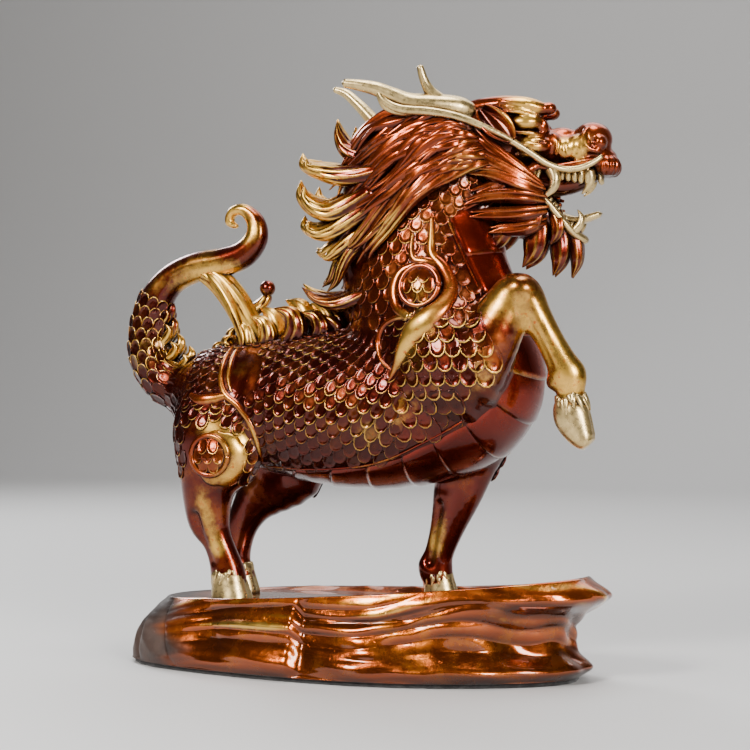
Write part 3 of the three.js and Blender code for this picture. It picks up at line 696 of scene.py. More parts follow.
FAR_HIND = [
    (-46, 7, 72, 10, 17), (-39, 13, 59, 10.5, 17.5), (-38, 13.5, 45, 9, 14), (-48.5, 13.5, 35, 6.8, 8.6),
    (-54, 13, 26.5, 5.2, 6.2), (-56, 12.8, 18, 4.2, 4.8), (-56.4, 12.6, 11, 4.2, 4.6),
    (-55, 12.5, 6, 4.6, 5.2),
]
FAR_FORE = [
    (34, 11, 78, 11, 16), (35.5, 14, 62, 9, 13.2), (31.6, 14, 48.5, 7.4, 10.6), (28.4, 13, 37, 6.2, 8.6),
    (25, 12.5, 26, 4.7, 6.2), (22, 12.5, 17, 4.2, 5.2), (20.6, 12.5, 11.5, 4.6, 6.2),
    (22, 12.5, 6.5, 4.6, 5.2),
]
RAISED_UPPER = [
    (30, -12, 104, 11, 15), (34, -18, 92, 11.5, 17), (41, -20, 82, 10.5, 16), (50, -20, 90, 8.5, 11.5),
    (56, -19, 100, 6.6, 8.4), (60, -18.5, 107, 5.6, 6.4),
]
RAISED_LOWER = [
    (58, -18.5, 105.5, 5, 5), (63, -18, 106, 5.6, 6), (67, -17.5, 99, 4.8, 5.2), (71.5, -17, 91, 4.3, 4.7),
    (75.2, -16.5, 84, 4.6, 5.2), (77.4, -16, 79, 5, 6.4), (78.6, -16, 74, 4, 4.4),
    (78.3, -16, 70.5, 4.2, 5.2),
]
TAIL = [
    (-60, 0, 71, 9, 12), (-70, 0, 74, 7.8, 9.4), (-80, 0, 78, 7, 8.3), (-86, 0, 87, 6.6, 7.9),
    (-86, 0, 98, 6.2, 7.4), (-83, 0, 107.5, 5.8, 6.4), (-76.5, 0, 114.5, 5.4, 5.6),
    (-67, 0, 118.5, 5.2, 5.5), (-57, 0, 120, 5, 5.3), (-48.5, 0, 122.5, 4.6, 5), (-43.2, 0, 128, 4.1, 4.3),
    (-43.2, 0, 134, 3.5, 3.4), (-47.5, 0, 138.6, 3, 2.4), (-52.3, 0, 138.2, 2.6, 1.9),
    (-54, 0, 134.6, 2.3, 1.5), (-51.2, 0, 133, 2.1, 1.2),
]
MANE_MASS = [
    (22, 0.5, 166, 9, 7), (10, 0, 162, 11, 8.5), (4, 0, 152, 12.5, 9.5), (1, 0, 140, 13, 9.5),
    (0, 0, 127, 12.5, 9), (-1, 0, 114, 9.5, 7.5), (-4, 0, 104, 5.5, 5),
]
# The forms of the body after the trunk, in the order in which they are joined: sweeps with their blend, and
# rounded muscles and bones with their middle, half sizes, blend and tilt in degrees.
BODY_FORMS = (
    (MANE_MASS, 4), (NEAR_HIND, 4), ((-54, -12, 60), (13, 10.5, 17), 4, 8),
    ((-47.5, -15, 52), (12, 8.5, 13), 4), (FAR_HIND, 4), ((-41, 15, 52), (12, 8, 13), 4),
    ((-33, 13, 45), (9.5, 8, 10.5), 3), (FAR_FORE, 4), ((17.4, 12.5, 12.5), (2.4, 2, 2.4), 2),
    (RAISED_UPPER, 4), ((38, -20, 84), (15, 10.5, 17), 4, 20), (RAISED_LOWER, 2.5),
    ((62.5, -20, 108), (5.4, 4.6, 4.6), 1.5), ((72.6, -16, 77), (2.6, 2.2, 2.4), 2), (TAIL, 3),
)
# Hollows beside the cannon bones, behind the knees and on the hocks: their line and half size.
TENDONS = (
    ([(-58, -19.3, 30), (-56, -18.4, 22), (-53, -17.6, 14)], 1.7),
    ([(23.5, 7.8, 34), (21, 8.2, 22), (19.5, 8.4, 14)], 1.7),
    ([(65, -22.9, 98), (69, -21.7, 90), (72.6, -20.9, 82)], 1.4),
    ([(65, -22.2, 94), (68, -21.4, 88), (71.2, -20.6, 81)], 0.9),
)


def model_trunk(clay):
    """The trunk, the chest and the neck, on which all the rest hangs."""
    clay.limb(TORSO, 3)
    clay.ball(*CHEST, 3)
    clay.limb(NECK, 4)


class QILIN_OT_body(bpy.types.Operator):
    """Model the body, the legs and the tail as one skin"""
    bl_idname = "qilin.body"
    bl_label = "Body"

    def execute(self, context):
        clay = Clay((-97, -33, -1), (92, 33, 178), context.scene.qilin_sizes.body_voxel)
        model_trunk(clay)
        for form in BODY_FORMS:
            (clay.limb if len(form) == 2 else clay.ball)(*form)
        for line, size in TENDONS:
            clay.limb([(*point, size, size) for point in line], 1.3, cut=True)
        # A crease runs along both sides of the tail, from the top of its loop into the curl.
        for side in SIDES:
            crease = [(x + 0.6, side * (wide + 0.6), z - 0.5, 0.9, 0.9) for x, _, z, wide, _ in TAIL[5:13]]
            clay.limb(crease, 1.2, cut=True)
        clay.soften()
        points, faces = clay.skin()
        make_piece("qilin_body", smoothed(points, faces, 2), faces, lacquer("body_lacquer"), 0.5)
        return {"FINISHED"}


def body_surface():
    """The body's skin in drawn millimetres, for laying forms on it."""
    piece = bpy.data.objects.get("qilin_body")
    if piece is None:
        raise RuntimeError("The body comes first")
    points = np.empty(len(piece.data.vertices) * 3)
    piece.data.vertices.foreach_get("co", points)
    points = (points.reshape(-1, 3) - FIGURE_ORIGIN) / FIGURE_SCALE
    return BVHTree.FromPolygons(points.tolist(), [tuple(face.vertices) for face in piece.data.polygons])


def trunk_surface():
    """The trunk, the chest and the neck without the legs, for the plates that run under them."""
    clay = Clay((-72, -31, 34), (68, 31, 172), 1.4)
    model_trunk(clay)
    points, faces = clay.skin()
    return BVHTree.FromPolygons(points.tolist(), faces.tolist())


def touch(surface, start, target):
    """Where a ray from start to target first meets the surface, with the normal there."""
    way = Vector(target) - Vector(start)
    hit, normal, _, _ = surface.ray_cast(Vector(start), way.normalized(), way.length)
    if hit is None:
        return None, None
    if normal.dot(way) > 0:
        normal = -normal
    return np.array(hit), np.array(normal)


def touch_side(surface, side, x, z, depth=0):
    """Where a ray meets one side of the figure at a drawn x and z, from outside down to a depth."""
    return touch(surface, (x, side * OUTSIDE, z), (x, side * depth, z))


# Scales

# Points along a scale's free edge.
SCALE_ARC = 7
# A scale's rings from its foot to its middle: share of its outline, height in lifts, and ridge value.
SCALE_RINGS = ((1.0, -0.5, 0.35), (1.0, 0.7, 1.0), (0.94, 1.0, 1.0), (0.85, 0.42, 0.35), (0.4, 0.5, 0.3))
# Where the scales of the trunk give way to the forelegs' own, and the middle of the raised knee, [x, z].
FORELEG_BACK = 23.0
RAISED_KNEE = (61, 107)
# The seam between the leg's skin and the plates, where no scale sits well: [x, z] and half sizes.
PLATE_CORNERS = (((51, 72.5), (6.5, 6.5)), ((47.4, 66), (4.5, 3)))


def scale_form(length, width, lift):
    """One scale lying in its own plane: a dished leaf with a raised bead round its free edge."""
    angle = np.linspace(-np.pi / 2, np.pi / 2, SCALE_ARC)
    rim = np.stack([0.62 * length * np.cos(angle)**0.85, 0.5 * width * np.sin(angle)], 1)
    back = np.array([[-0.55 * length, 0.36 * width], [-0.55 * length, -0.36 * width]])
    outline = np.vstack([rim, back])
    along = (outline[:, 0] / length + 0.55) / 1.17
    rows = []
    for share, height, ridge in SCALE_RINGS:
        rise = lift * (height * along + 0.12 * (1 - along))
        bead = 0.3 + (ridge - 0.3) * np.clip(along * 1.6 - 0.5, 0, 1)
        rows.append(np.column_stack([outline * share, rise, bead]))
    points = np.vstack(rows + [[[0, 0, -0.6 * lift, 0.2]], [[0, 0, 0.35 * lift, 0.3]]])
    return points, closed_tube_faces(len(rows), len(outline))


def add_scale(bundle, form, place, flow, normal, ridge):
    """Sets a scale on its place, its free edge towards the flow."""
    points, faces = form
    side = np.cross(normal, flow)
    placed = place + points[:, :1] * flow + points[:, 1:2] * side + points[:, 2:3] * normal
    bundle.add(placed, faces, ridge(points[:, 3]))


def lay_scales(bundle, surface, stations, pitch, columns, keep, lift, end=1.0, sag=0.0, breadth=1.2):
    """Rows of scales round a limb, each row shifted by half a scale, free edges away from its start.

    sag turns the free edges downwards, by degrees from the limb's own direction.
    """
    rows = through(stations, 12)
    points = rows[:, :3]
    along, wide, deep = frames_along(points)
    travelled = distances(points)
    for row in range(int(travelled[-1] * end / pitch)):
        place = (row + 0.5) * pitch
        at = between(travelled, points, place)
        index = int(np.clip(np.searchsorted(travelled, place), 1, len(points) - 1))
        half = rows[index, 3:5]
        for column in range(columns):
            angle = 2 * math.pi * (column + 0.5 * (row % 2)) / columns
            out = math.cos(angle) * wide[index] * half[0] + math.sin(angle) * deep[index] * half[1]
            radius = np.linalg.norm(out)
            hit, normal = touch(surface, at + out * (1 + 9 / radius), at)
            if hit is None or not keep(hit) or np.linalg.norm(hit - at) < 0.55 * radius:
                continue
            flow = unit(along[index] - normal * (normal @ along[index]))
            down = unit(normal * normal[2] - UPWARD)
            vary = math.sin(12.7 * row + 7.3 * column)
            turn = math.radians(sag) * soft_step(0.1, 0.45, abs(normal[1])) + 0.06 * vary
            flow = unit(math.cos(turn) * flow + math.sin(turn) * down)
            size = 0.5 * (pitch + 0.87 * 2 * math.pi * radius / columns) * (1 + 0.04 * vary)
            shade = 0.74 + 0.26 * abs(math.sin(3.1 * row + 5.7 * column))
            form = scale_form(size * (2.62 - breadth), size * breadth, lift)
            add_scale(bundle, form, hit, flow, normal, lambda ridge: ridge * shade)


# The middle line of the plates, [x, z, half width of their band] from the throat to the end of the belly.
BELLY_LINE = [
    (36, 134, 10.5), (47, 119, 13.5), (54, 107, 15.5), (61.5, 92, 17.5), (63.5, 78, 20), (58, 64, 21.5),
    (46, 53, 22.5), (29, 44.5, 22.5), (10, 41, 20.5), (-9, 41.5, 18), (-26, 46, 13), (-38, 50, 8),
]


def distances(points):
    """How far each point of a line lies from its start, along it."""
    return np.concatenate([[0], np.cumsum(np.linalg.norm(np.diff(points, axis=0), axis=1))])


def between(travelled, rows, place):
    """The row of numbers at a distance along a line."""
    return np.array([np.interp(place, travelled, column) for column in rows.T])


class PlateBand:
    """The band of the plates: rays spread from a line inside the trunk, square to the band's middle."""
    # How deep in the trunk the rays start.
    DEPTH = 22.0
    # Points of the trunk further than this from the middle line are never under a plate.
    FARTHEST = 34
    # How far past a station's plane a point may lie, and past the throat's end of the band.
    SLACK = 2.5
    END_SLACK = 0.6

    def __init__(self):
        rows = through([(x, 0, z, half, 0) for x, z, half in BELLY_LINE], 12)
        self.line = rows[:, :3]
        self.along, _, self.outward = frames_along(self.line)
        reach = np.interp(np.linspace(0, 1, len(rows)), [0, 0.3, 1], [18, 25, 26])
        self.spread = np.arcsin(rows[:, 3] / reach)
        self.travelled = distances(self.line)
        self.length = self.travelled[-1]

    def place(self, surface, along, side):
        """The point of the trunk under a share of the band's half width, with the normal there."""
        at = between(self.travelled, self.line, along)
        ahead = unit(between(self.travelled, self.outward, along))
        turn = side * np.interp(along, self.travelled, self.spread)
        heart = at - ahead * self.DEPTH
        out = ahead * math.cos(turn) + SIDEWAYS * math.sin(turn)
        return touch(surface, heart + out * 2.1 * self.DEPTH, heart)

    def covers(self, hit):
        """Is this point of the trunk under a plate?"""
        away = hit - self.line
        distance = np.linalg.norm(away, axis=1)
        off_plane = np.abs((away * self.along).sum(1)) + 0.02 * distance
        off_plane[distance > self.FARTHEST] = 100
        index = off_plane.argmin()
        if off_plane[index] > (self.SLACK if index else self.END_SLACK):
            return False
        inner = away[index] + self.outward[index] * self.DEPTH
        turn = math.atan2(abs(inner[1]), inner @ self.outward[index])
        return turn < self.spread[index] + 0.05


PLATE_BAND = PlateBand()
# The lower edge of the mane and the cheek's hair on the neck: heights, and how far back it lies at each.
HAIR_HEIGHTS = (98, 108, 118, 128, 137, 144, 148)
HAIR_BACK = (-10, -2, 6, 11, 16, 25, 48)
CHEEK_LOW = 147


def near_spot(hit, centre, radii):
    """Is this point inside an oval drawn on the figure's side?"""
    return math.hypot((hit[0] - centre[0]) / radii[0], (hit[2] - centre[1]) / radii[1]) < 1


def on_trunk(hit):
    """Is this point on the trunk, clear of the rump, the hip's disc and the plates?"""
    smooth_rump = near_spot(hit, (-41, 81), (8.5, 9.5))
    bare = smooth_rump or near_spot(hit, HIP, (11.5, 11.5)) or PLATE_BAND.covers(hit)
    return -63 < hit[0] < FORELEG_BACK and 40 < hit[2] < 97 and not bare


def on_neck(hit):
    """Is this point of the neck in front of the mane, under the cheek's hair and clear of the plates?"""
    clear = hit[0] > np.interp(hit[2], HAIR_HEIGHTS, HAIR_BACK) and 97 < hit[2] < CHEEK_LOW
    return clear and not PLATE_BAND.covers(hit)


def on_thigh(hit):
    """Is this point on the outside of a thigh, clear of the hip's disc?"""
    return 38 < hit[2] < 72 and abs(hit[1]) > 8 and not near_spot(hit, HIP, (12.5, 12.5))


def on_tail(hit):
    """Is this point on the tail, behind the rump?"""
    return hit[0] < -70


def lay_patch(bundle, surface, side, low, high, pitch, keep, lift):
    """Rows of scales on one side of the figure between two corners [x, z], free edges down and forwards."""
    width = pitch * 1.08
    for row in range(int((high[1] - low[1]) / pitch)):
        z = high[1] - row * pitch
        for column in range(int((high[0] - low[0]) / width)):
            x = low[0] + (column + 0.5 * (row % 2)) * width
            hit, normal = touch_side(surface, side, x, z, 3)
            if hit is None or abs(normal[1]) < 0.3 or not keep(hit):
                continue
            vary = math.sin(12.7 * row + 7.3 * column)
            way = np.array([0.3 + 0.1 * vary, 0.0, -1.0])
            flow = unit(way - normal * (normal @ way))
            stretch = min(1.2, 1 / abs(normal[1])**0.7)
            form = scale_form(pitch * 1.55 * stretch, width * 1.16 * stretch, lift)
            add_scale(bundle, form, hit, flow, normal, lambda ridge: np.maximum(ridge, 0.42 + 0.16 * vary))


class QILIN_OT_scales(bpy.types.Operator):
    """Lay the scales over the trunk, the neck, the thighs, the shoulders and the tail"""
    bl_idname = "qilin.scales"
    bl_label = "Scales"

    def execute(self, context):
        sizes = context.scene.qilin_sizes
        pitch, lift = sizes.scale_pitch, sizes.scale_lift
        surface = body_surface()
        trunk_alone = trunk_surface()

        def on_foreleg(hit):
            """Is this point on the shoulder or the upper foreleg, clear of the plates and the knee?"""
            on_leg = trunk_alone.find_nearest(Vector(hit))[3] > 2.2
            on_knee = near_spot(hit, RAISED_KNEE, (15, 15))
            bare = on_knee or any(near_spot(hit, *spot) for spot in PLATE_CORNERS)
            return not (bare and hit[1] < 0) and (on_leg or not PLATE_BAND.covers(hit))

        trunk = Bundle()
        lay_scales(trunk, surface, TORSO[::-1], pitch, 36, on_trunk, lift, sag=58)
        trunk.make("trunk_scales", lacquer("scale_lacquer"))
        neck = Bundle()
        lay_scales(neck, surface, NECK[::-1], pitch * 0.9, 25, on_neck, lift, end=0.9, breadth=1.36)
        neck.make("neck_scales", lacquer("neck_lacquer"))
        limbs = Bundle()
        lay_scales(limbs, surface, NEAR_HIND[:5], pitch, 15, on_thigh, lift * 0.6, end=0.7)
        lay_scales(limbs, surface, FAR_HIND[:5], pitch, 15, on_thigh, lift * 0.6, end=0.7)
        lay_scales(limbs, surface, TAIL[:7], pitch, 11, on_tail, lift * 0.7, end=0.9)
        for side, low, high in ((-1, 56, 58), (1, 40, 56)):
            corners = ((FORELEG_BACK - 1, low), (high, 99))
            lay_patch(limbs, surface, side, *corners, pitch * 1.15, on_foreleg, lift)
        limbs.make("limb_scales", lacquer("scale_lacquer"))
        return {"FINISHED"}


# Plates

# Points across each plate, and along it.
PLATE_ACROSS = 41
PLATE_ALONG = 13
# How far each plate runs under the next, and how far its free edge bows towards the tail.
PLATE_LAP = 1.1
PLATE_BOW = 3.4


class QILIN_OT_plates(bpy.types.Operator):
    """Lay the broad overlapping plates down the throat, the chest and the belly"""
    bl_idname = "qilin.plates"
    bl_label = "Plates"

    def execute(self, context):
        count = context.scene.qilin_sizes.plates
        surface = trunk_surface()
        pitch = PLATE_BAND.length / count
        bundle = Bundle()
        for plate in range(count):
            self.add_plate(bundle, surface, plate * pitch, pitch * PLATE_LAP)
        for side in SIDES:
            seam = [PLATE_BAND.place(surface, along, side * 1.02)
                    for along in np.linspace(1, PLATE_BAND.length - 1, 60)]
            seam = [(*(hit + 0.25 * normal), 0.5, 0.5) for hit, normal in seam if hit is not None]
            bundle.loft(seam, 8, 2, groove=lambda angle, share: (1.0, 1.0))
        bundle.make("belly_plates", lacquer("plate_lacquer"))
        return {"FINISHED"}

    @staticmethod
    def add_plate(bundle, surface, start, length):
        """One plate of the band, with its free edge towards the tail."""
        # Painted light and shade: the plates are given paler lacquer on the throat and darker lacquer towards
        # the belly, through their ridge value.
        field = 0.42 + 0.24 * (1 - start / PLATE_BAND.length)
        rows = []
        ridge = []
        for i in range(PLATE_ALONG):
            t = i / (PLATE_ALONG - 1)
            rise = 0.25 + 0.65 * soft_step(0, 1.0, t)
            crease = -0.45 if i in (0, PLATE_ALONG - 1) else 0.0
            for j in range(PLATE_ACROSS):
                side = 2 * j / (PLATE_ACROSS - 1) - 1
                along = start + t * length + PLATE_BOW * (1 - side * side) - 2
                hit, normal = PLATE_BAND.place(surface, along, side)
                if hit is None:
                    return
                edge = min(1.0, (1 - abs(side)) * 12)
                rows.append(hit + normal * ((rise + crease) * edge - 0.4 * (1 - edge)))
                rim = max(soft_step(0.84, 0.95, t), 1 - soft_step(0.0, 0.1, 1 - abs(side)))
                ridge.append(field + (1 - field) * rim)
        top = np.array(rows)
        sunk = top + unit(PLATE_BAND.line.mean(0) - top) * 1.6
        faces = turned_over(slab_faces(PLATE_ALONG, PLATE_ACROSS))
        bundle.add(np.vstack([top, sunk]), faces, np.concatenate([ridge, np.full(len(top), 0.2)]))


# Shoulder and hip ornaments

# Bands of the flames as [x, z, half width, height] on the flank.
SHOULDER_BANDS = (
    ((30, 132.5, 0.7, 0.7), (30.4, 126, 1.2, 1.1), (31, 120, 1.8, 1.5), (35.4, 114.6, 2.6, 1.7),
     (38.6, 108, 2.9, 1.8), (37.4, 102.4, 3.2, 1.9), (33.4, 98, 4, 2), (28.6, 93.6, 4.2, 1.9),
     (24.4, 88, 2.8, 1.5), (20.6, 82, 1.4, 1), (18, 77.6, 0.5, 0.5)),
    ((23.8, 127, 0.6, 0.6), (23.8, 122, 1.1, 1), (25.2, 118.2, 1.7, 1.3), (29.6, 117, 2.2, 1.4),
     (33, 116, 2, 1.2)),
    ((27, 117, 1.2, 1), (20.8, 114, 1.9, 1.3), (18.6, 108, 2.2, 1.5), (20.4, 102, 2.0, 1.4),
     (25.6, 98.4, 1.8, 1.3)),
    ((27, 99, 1.4, 1.2), (20.6, 98.6, 1.2, 1.1), (15, 96, 1.1, 1), (12.6, 90.6, 1, 0.9),
     (14.4, 84.6, 0.8, 0.8), (19, 81, 0.5, 0.6)),
)
HIP_BANDS = (
    ((-49.4, 89.6, 0.6, 0.6), (-49.2, 84, 0.9, 0.9), (-48.4, 78, 1.1, 1), (-45.6, 72.6, 1.4, 1.2),
     (-40.4, 68.6, 1.3, 1.1), (-35.6, 62, 1.1, 1), (-34, 54, 1, 0.9), (-36, 45, 0.8, 0.8),
     (-40, 38, 0.5, 0.5)),
    ((-46.6, 89, 0.5, 0.5), (-46.2, 83.6, 0.8, 0.8), (-45.4, 78, 0.9, 0.8), (-43.4, 73.6, 0.6, 0.6)),
    ((-44.6, 72.4, 1.2, 0.9), (-50, 71, 2.0, 1.1), (-55, 70.6, 2.1, 1), (-59.4, 72.4, 1, 0.8)),
)


# How far the discs bulge.
DISC_DOME = 2.0


class QILIN_OT_ornaments(bpy.types.Operator):
    """Carve the scaled discs and flames on the shoulders and the hips"""
    bl_idname = "qilin.ornaments"
    bl_label = "Ornaments"

    def execute(self, context):
        surface = body_surface()
        bundle = Bundle()
        for side in SIDES:
            self.disc(bundle, surface, SHOULDER, 6.8, side, 1.2)
            shift = 0 if side < 0 else FAR_HIP_SHIFT
            hip = (HIP[0] + shift, HIP[1])
            self.petal(bundle, surface, hip, side)
            self.disc(bundle, surface, hip, 6.9, side, 1.1)
            for stations in SHOULDER_BANDS:
                self.band(bundle, surface, stations, side)
            for stations in HIP_BANDS:
                self.band(bundle, surface, [(x + shift, *rest) for x, *rest in stations], side)
        bundle.make("carved_ornaments", lacquer("ornament_lacquer"))
        return {"FINISHED"}

    @staticmethod
    def band(bundle, surface, stations, side):
        """A smooth raised band, laid where its stations [x, z, half width, height] fall on the flank."""
        placed = []
        for x, z, wide, tall in through(stations, 6):
            hit, _ = touch_side(surface, side, x, z)
            if hit is not None:
                placed.append([hit[0], hit[1] + side * 0.2 * tall, hit[2], max(tall, 0.3), max(wide, 0.3)])
        placed = np.array(placed)
        for _ in range(5):
            placed[1:-1, 1] = 0.25 * placed[:-2, 1] + 0.5 * placed[1:-1, 1] + 0.25 * placed[2:, 1]

        def rounded(angle, share):
            return 1.0, np.clip(0.55 + 0.45 * np.cos(angle) * side, 0, 1)
        bundle.loft(placed, 16, 2, groove=rounded)

    @staticmethod
    def petal(bundle, surface, centre, side):
        """The smooth gilded field round the hip's disc, with a flamed edge."""
        rings, spokes = 7, 48
        points = []
        for i in range(rings + 1):
            share = i / rings
            for turn in ring_turns(spokes):
                flame = 0.9 * abs(math.sin(4.5 * turn + 0.7))**0.6 * share
                reach = (9.8 + 1.6 * math.cos(turn + 0.6) + flame) * share
                x = centre[0] + 1.2 + reach * math.cos(turn)
                z = centre[1] - 0.6 + reach * math.sin(turn)
                hit, normal = touch_side(surface, side, x, z, 6)
                if hit is None:
                    # Past the thigh's edge the field turns inwards from the ring before.
                    inner = points[-spokes]
                    points.append(inner + 0.4 * (np.array([x, inner[1] - side * 4, z]) - inner))
                else:
                    points.append(hit + normal * (math.sqrt(max(0.0, 1 - share**6)) - 0.25))
        faces = turned_over(tube_faces(rings + 1, spokes))
        faces.append(tuple(range((rings + 1) * spokes - 1, rings * spokes - 1, -1)))
        bundle.add(np.array(points), faces if side < 0 else [face[::-1] for face in faces], 0.8)

    @staticmethod
    def disc(bundle, surface, centre, radius, side, rise):
        """A domed disc with a ring round it and rows of scales on it."""
        hit, normal = touch_side(surface, side, *centre)
        if hit is None:
            raise RuntimeError("The disc misses the body")
        normal = unit(normal + SIDEWAYS * side)
        hit = hit + normal * rise
        up = unit(UPWARD - normal * (UPWARD @ normal))
        right = np.cross(up, normal)

        def on_dome(a, b):
            """The dome's point at a and b from its middle."""
            share = math.hypot(a, b) / radius
            height = DISC_DOME * math.sqrt(max(0, 1 - share**2)) - 0.2
            return hit + right * a + up * b + normal * height

        ring = []
        for turn in [*ring_turns(24), 2 * math.pi]:
            point = hit + radius * (math.cos(turn) * right + math.sin(turn) * up) + normal * 0.5
            ring.append([*point, 0.95, 1.1])
        bundle.loft(ring, 8, 2, across=normal)
        rings, spokes = 7, 32
        dome = []
        for i in range(1, rings + 1):
            for turn in ring_turns(spokes):
                flat = radius * i / rings
                dome.append(on_dome(flat * math.cos(turn), flat * math.sin(turn)))
        faces = turned_over(tube_faces(rings, spokes))
        faces.append(tuple(range(rings * spokes - 1, (rings - 1) * spokes - 1, -1)))
        faces.append(tuple(range(spokes)))
        bundle.add(np.array(dome), faces, 0.4)
        pitch = radius * 0.48
        for row in range(-2, 3):
            for column in range(-2, 3):
                a = (column + 0.5 * (row % 2)) * pitch * 1.16
                b = row * pitch
                if math.hypot(a, b) > radius * 0.9:
                    continue
                lean = unit(normal + (right * a + up * b) / radius * 0.45)
                flow = unit(-up - lean * (-up @ lean))
                form = scale_form(pitch * 1.45, pitch * 1.2, 0.5)
                add_scale(bundle, form, on_dome(a, b), flow, lean, lambda ridge: ridge)


# Hooves

# The standing hooves, [x, y, half length], and where the raised one hangs from its fetlock.
STANDING_HOOVES = ((-46.8, -13, 8), (-54.6, 12.5, 6.6), (22.8, 12.5, 6.8))
# A standing hoof: how far its rings lie ahead of its middle, their height, and their half width and
# depth in half lengths.
STANDING_RINGS = (
    (-1.2, 11, 0.5, 0.66), (-1.1, 9.2, 0.62, 0.78), (-0.8, 7, 0.66, 0.82), (-0.3, 4, 0.72, 0.88),
    (0.1, 1.4, 0.78, 0.95), (0.2, 0.3, 0.8, 0.98), (0.2, 0.06, 0.74, 0.92),
)
# The raised hoof hangs from its fetlock, pointed at the toe and cut flat below.
RAISED_RINGS = (
    (78.2, -16, 71, 3.6, 4.6), (78.2, -16, 69, 4.4, 5.8), (78.9, -16, 66, 4.7, 6.3),
    (80.2, -16, 63, 4.6, 5.9), (81.8, -16, 60.2, 4.3, 5.0), (83.4, -16, 58, 4, 3.9),
    (84.4, -16, 56.9, 3.6, 2.7),
)


def cleft(depth, breadth, start, end):
    """A groove pattern for the split down a hoof's front, deeper towards its foot."""
    def pattern(angle, share):
        middle = line_at(angle, np.pi / 2, breadth)
        return 1 - depth * middle * soft_step(start, end, share), 0.7 - 0.5 * middle
    return pattern


def line_at(angle, place, breadth):
    """One on a line down a sweep at an angle, fading to nought beside it."""
    off = np.angle(np.exp(1j * (angle - place)))
    return np.exp(-((off / breadth)**2))


class QILIN_OT_hooves(bpy.types.Operator):
    """Model the pale hooves with a fringe of hair over each"""
    bl_idname = "qilin.hooves"
    bl_label = "Hooves"

    def execute(self, context):
        bundle = Bundle()
        for x, y, half in STANDING_HOOVES:
            rings = [(x + ahead, y, z, wide * half, deep * half) for ahead, z, wide, deep in STANDING_RINGS]
            bundle.loft(rings, 32, 4, groove=cleft(0.12, 0.16, 0.1, 0.4), blunt=0.0)
            ring = []
            for turn in ring_turns(24):
                out = np.array([math.cos(turn), math.sin(turn), 0])
                middle = np.array([x - 1.2, y, 10.4 + 0.7 * math.sin(5 * turn)])
                ring.append((middle + out * (0.64, 0.54, 0) * half, out))
            self.fringe(bundle, ring, np.array([0.0, 0.0, -1.0]), (2.6, 3.0), 0.85)
        bundle.loft(RAISED_RINGS, 32, 5, groove=cleft(0.14, 0.2, 0.2, 0.5), blunt=0.15)
        ring = []
        for turn in ring_turns(22):
            out = np.array([math.cos(turn), math.sin(turn), 0.15 * math.cos(turn)])
            middle = np.array([78.2, -16, 72.4 + 0.8 * math.sin(4 * turn)])
            ring.append((middle + out * (4.5, 3.8, 4.0), out))
        self.fringe(bundle, ring, unit(np.array([0.25, 0, -1.0])), (3.0, 3.2), 0.95)
        bundle.make("hooves", pale_brass())
        return {"FINISHED"}

    @staticmethod
    def fringe(bundle, ring, drop, lengths, size):
        """Short hairs that fan out over the top of a hoof."""
        for i, (root, out) in enumerate(ring):
            length = lengths[0] + lengths[1] * (0.5 + 0.5 * math.sin(2.1 * i))
            across = np.cross(drop, out)
            tip = root + drop * length + out * 0.7 + across * 0.9 * math.sin(2.9 * i)
            hair = tapered([root, 0.5 * (root + tip) + out * 0.3, tip], size, size * 0.6, 0.8, 0.2)
            bundle.loft(hair, 9, 4, across=unit(across))


# The head

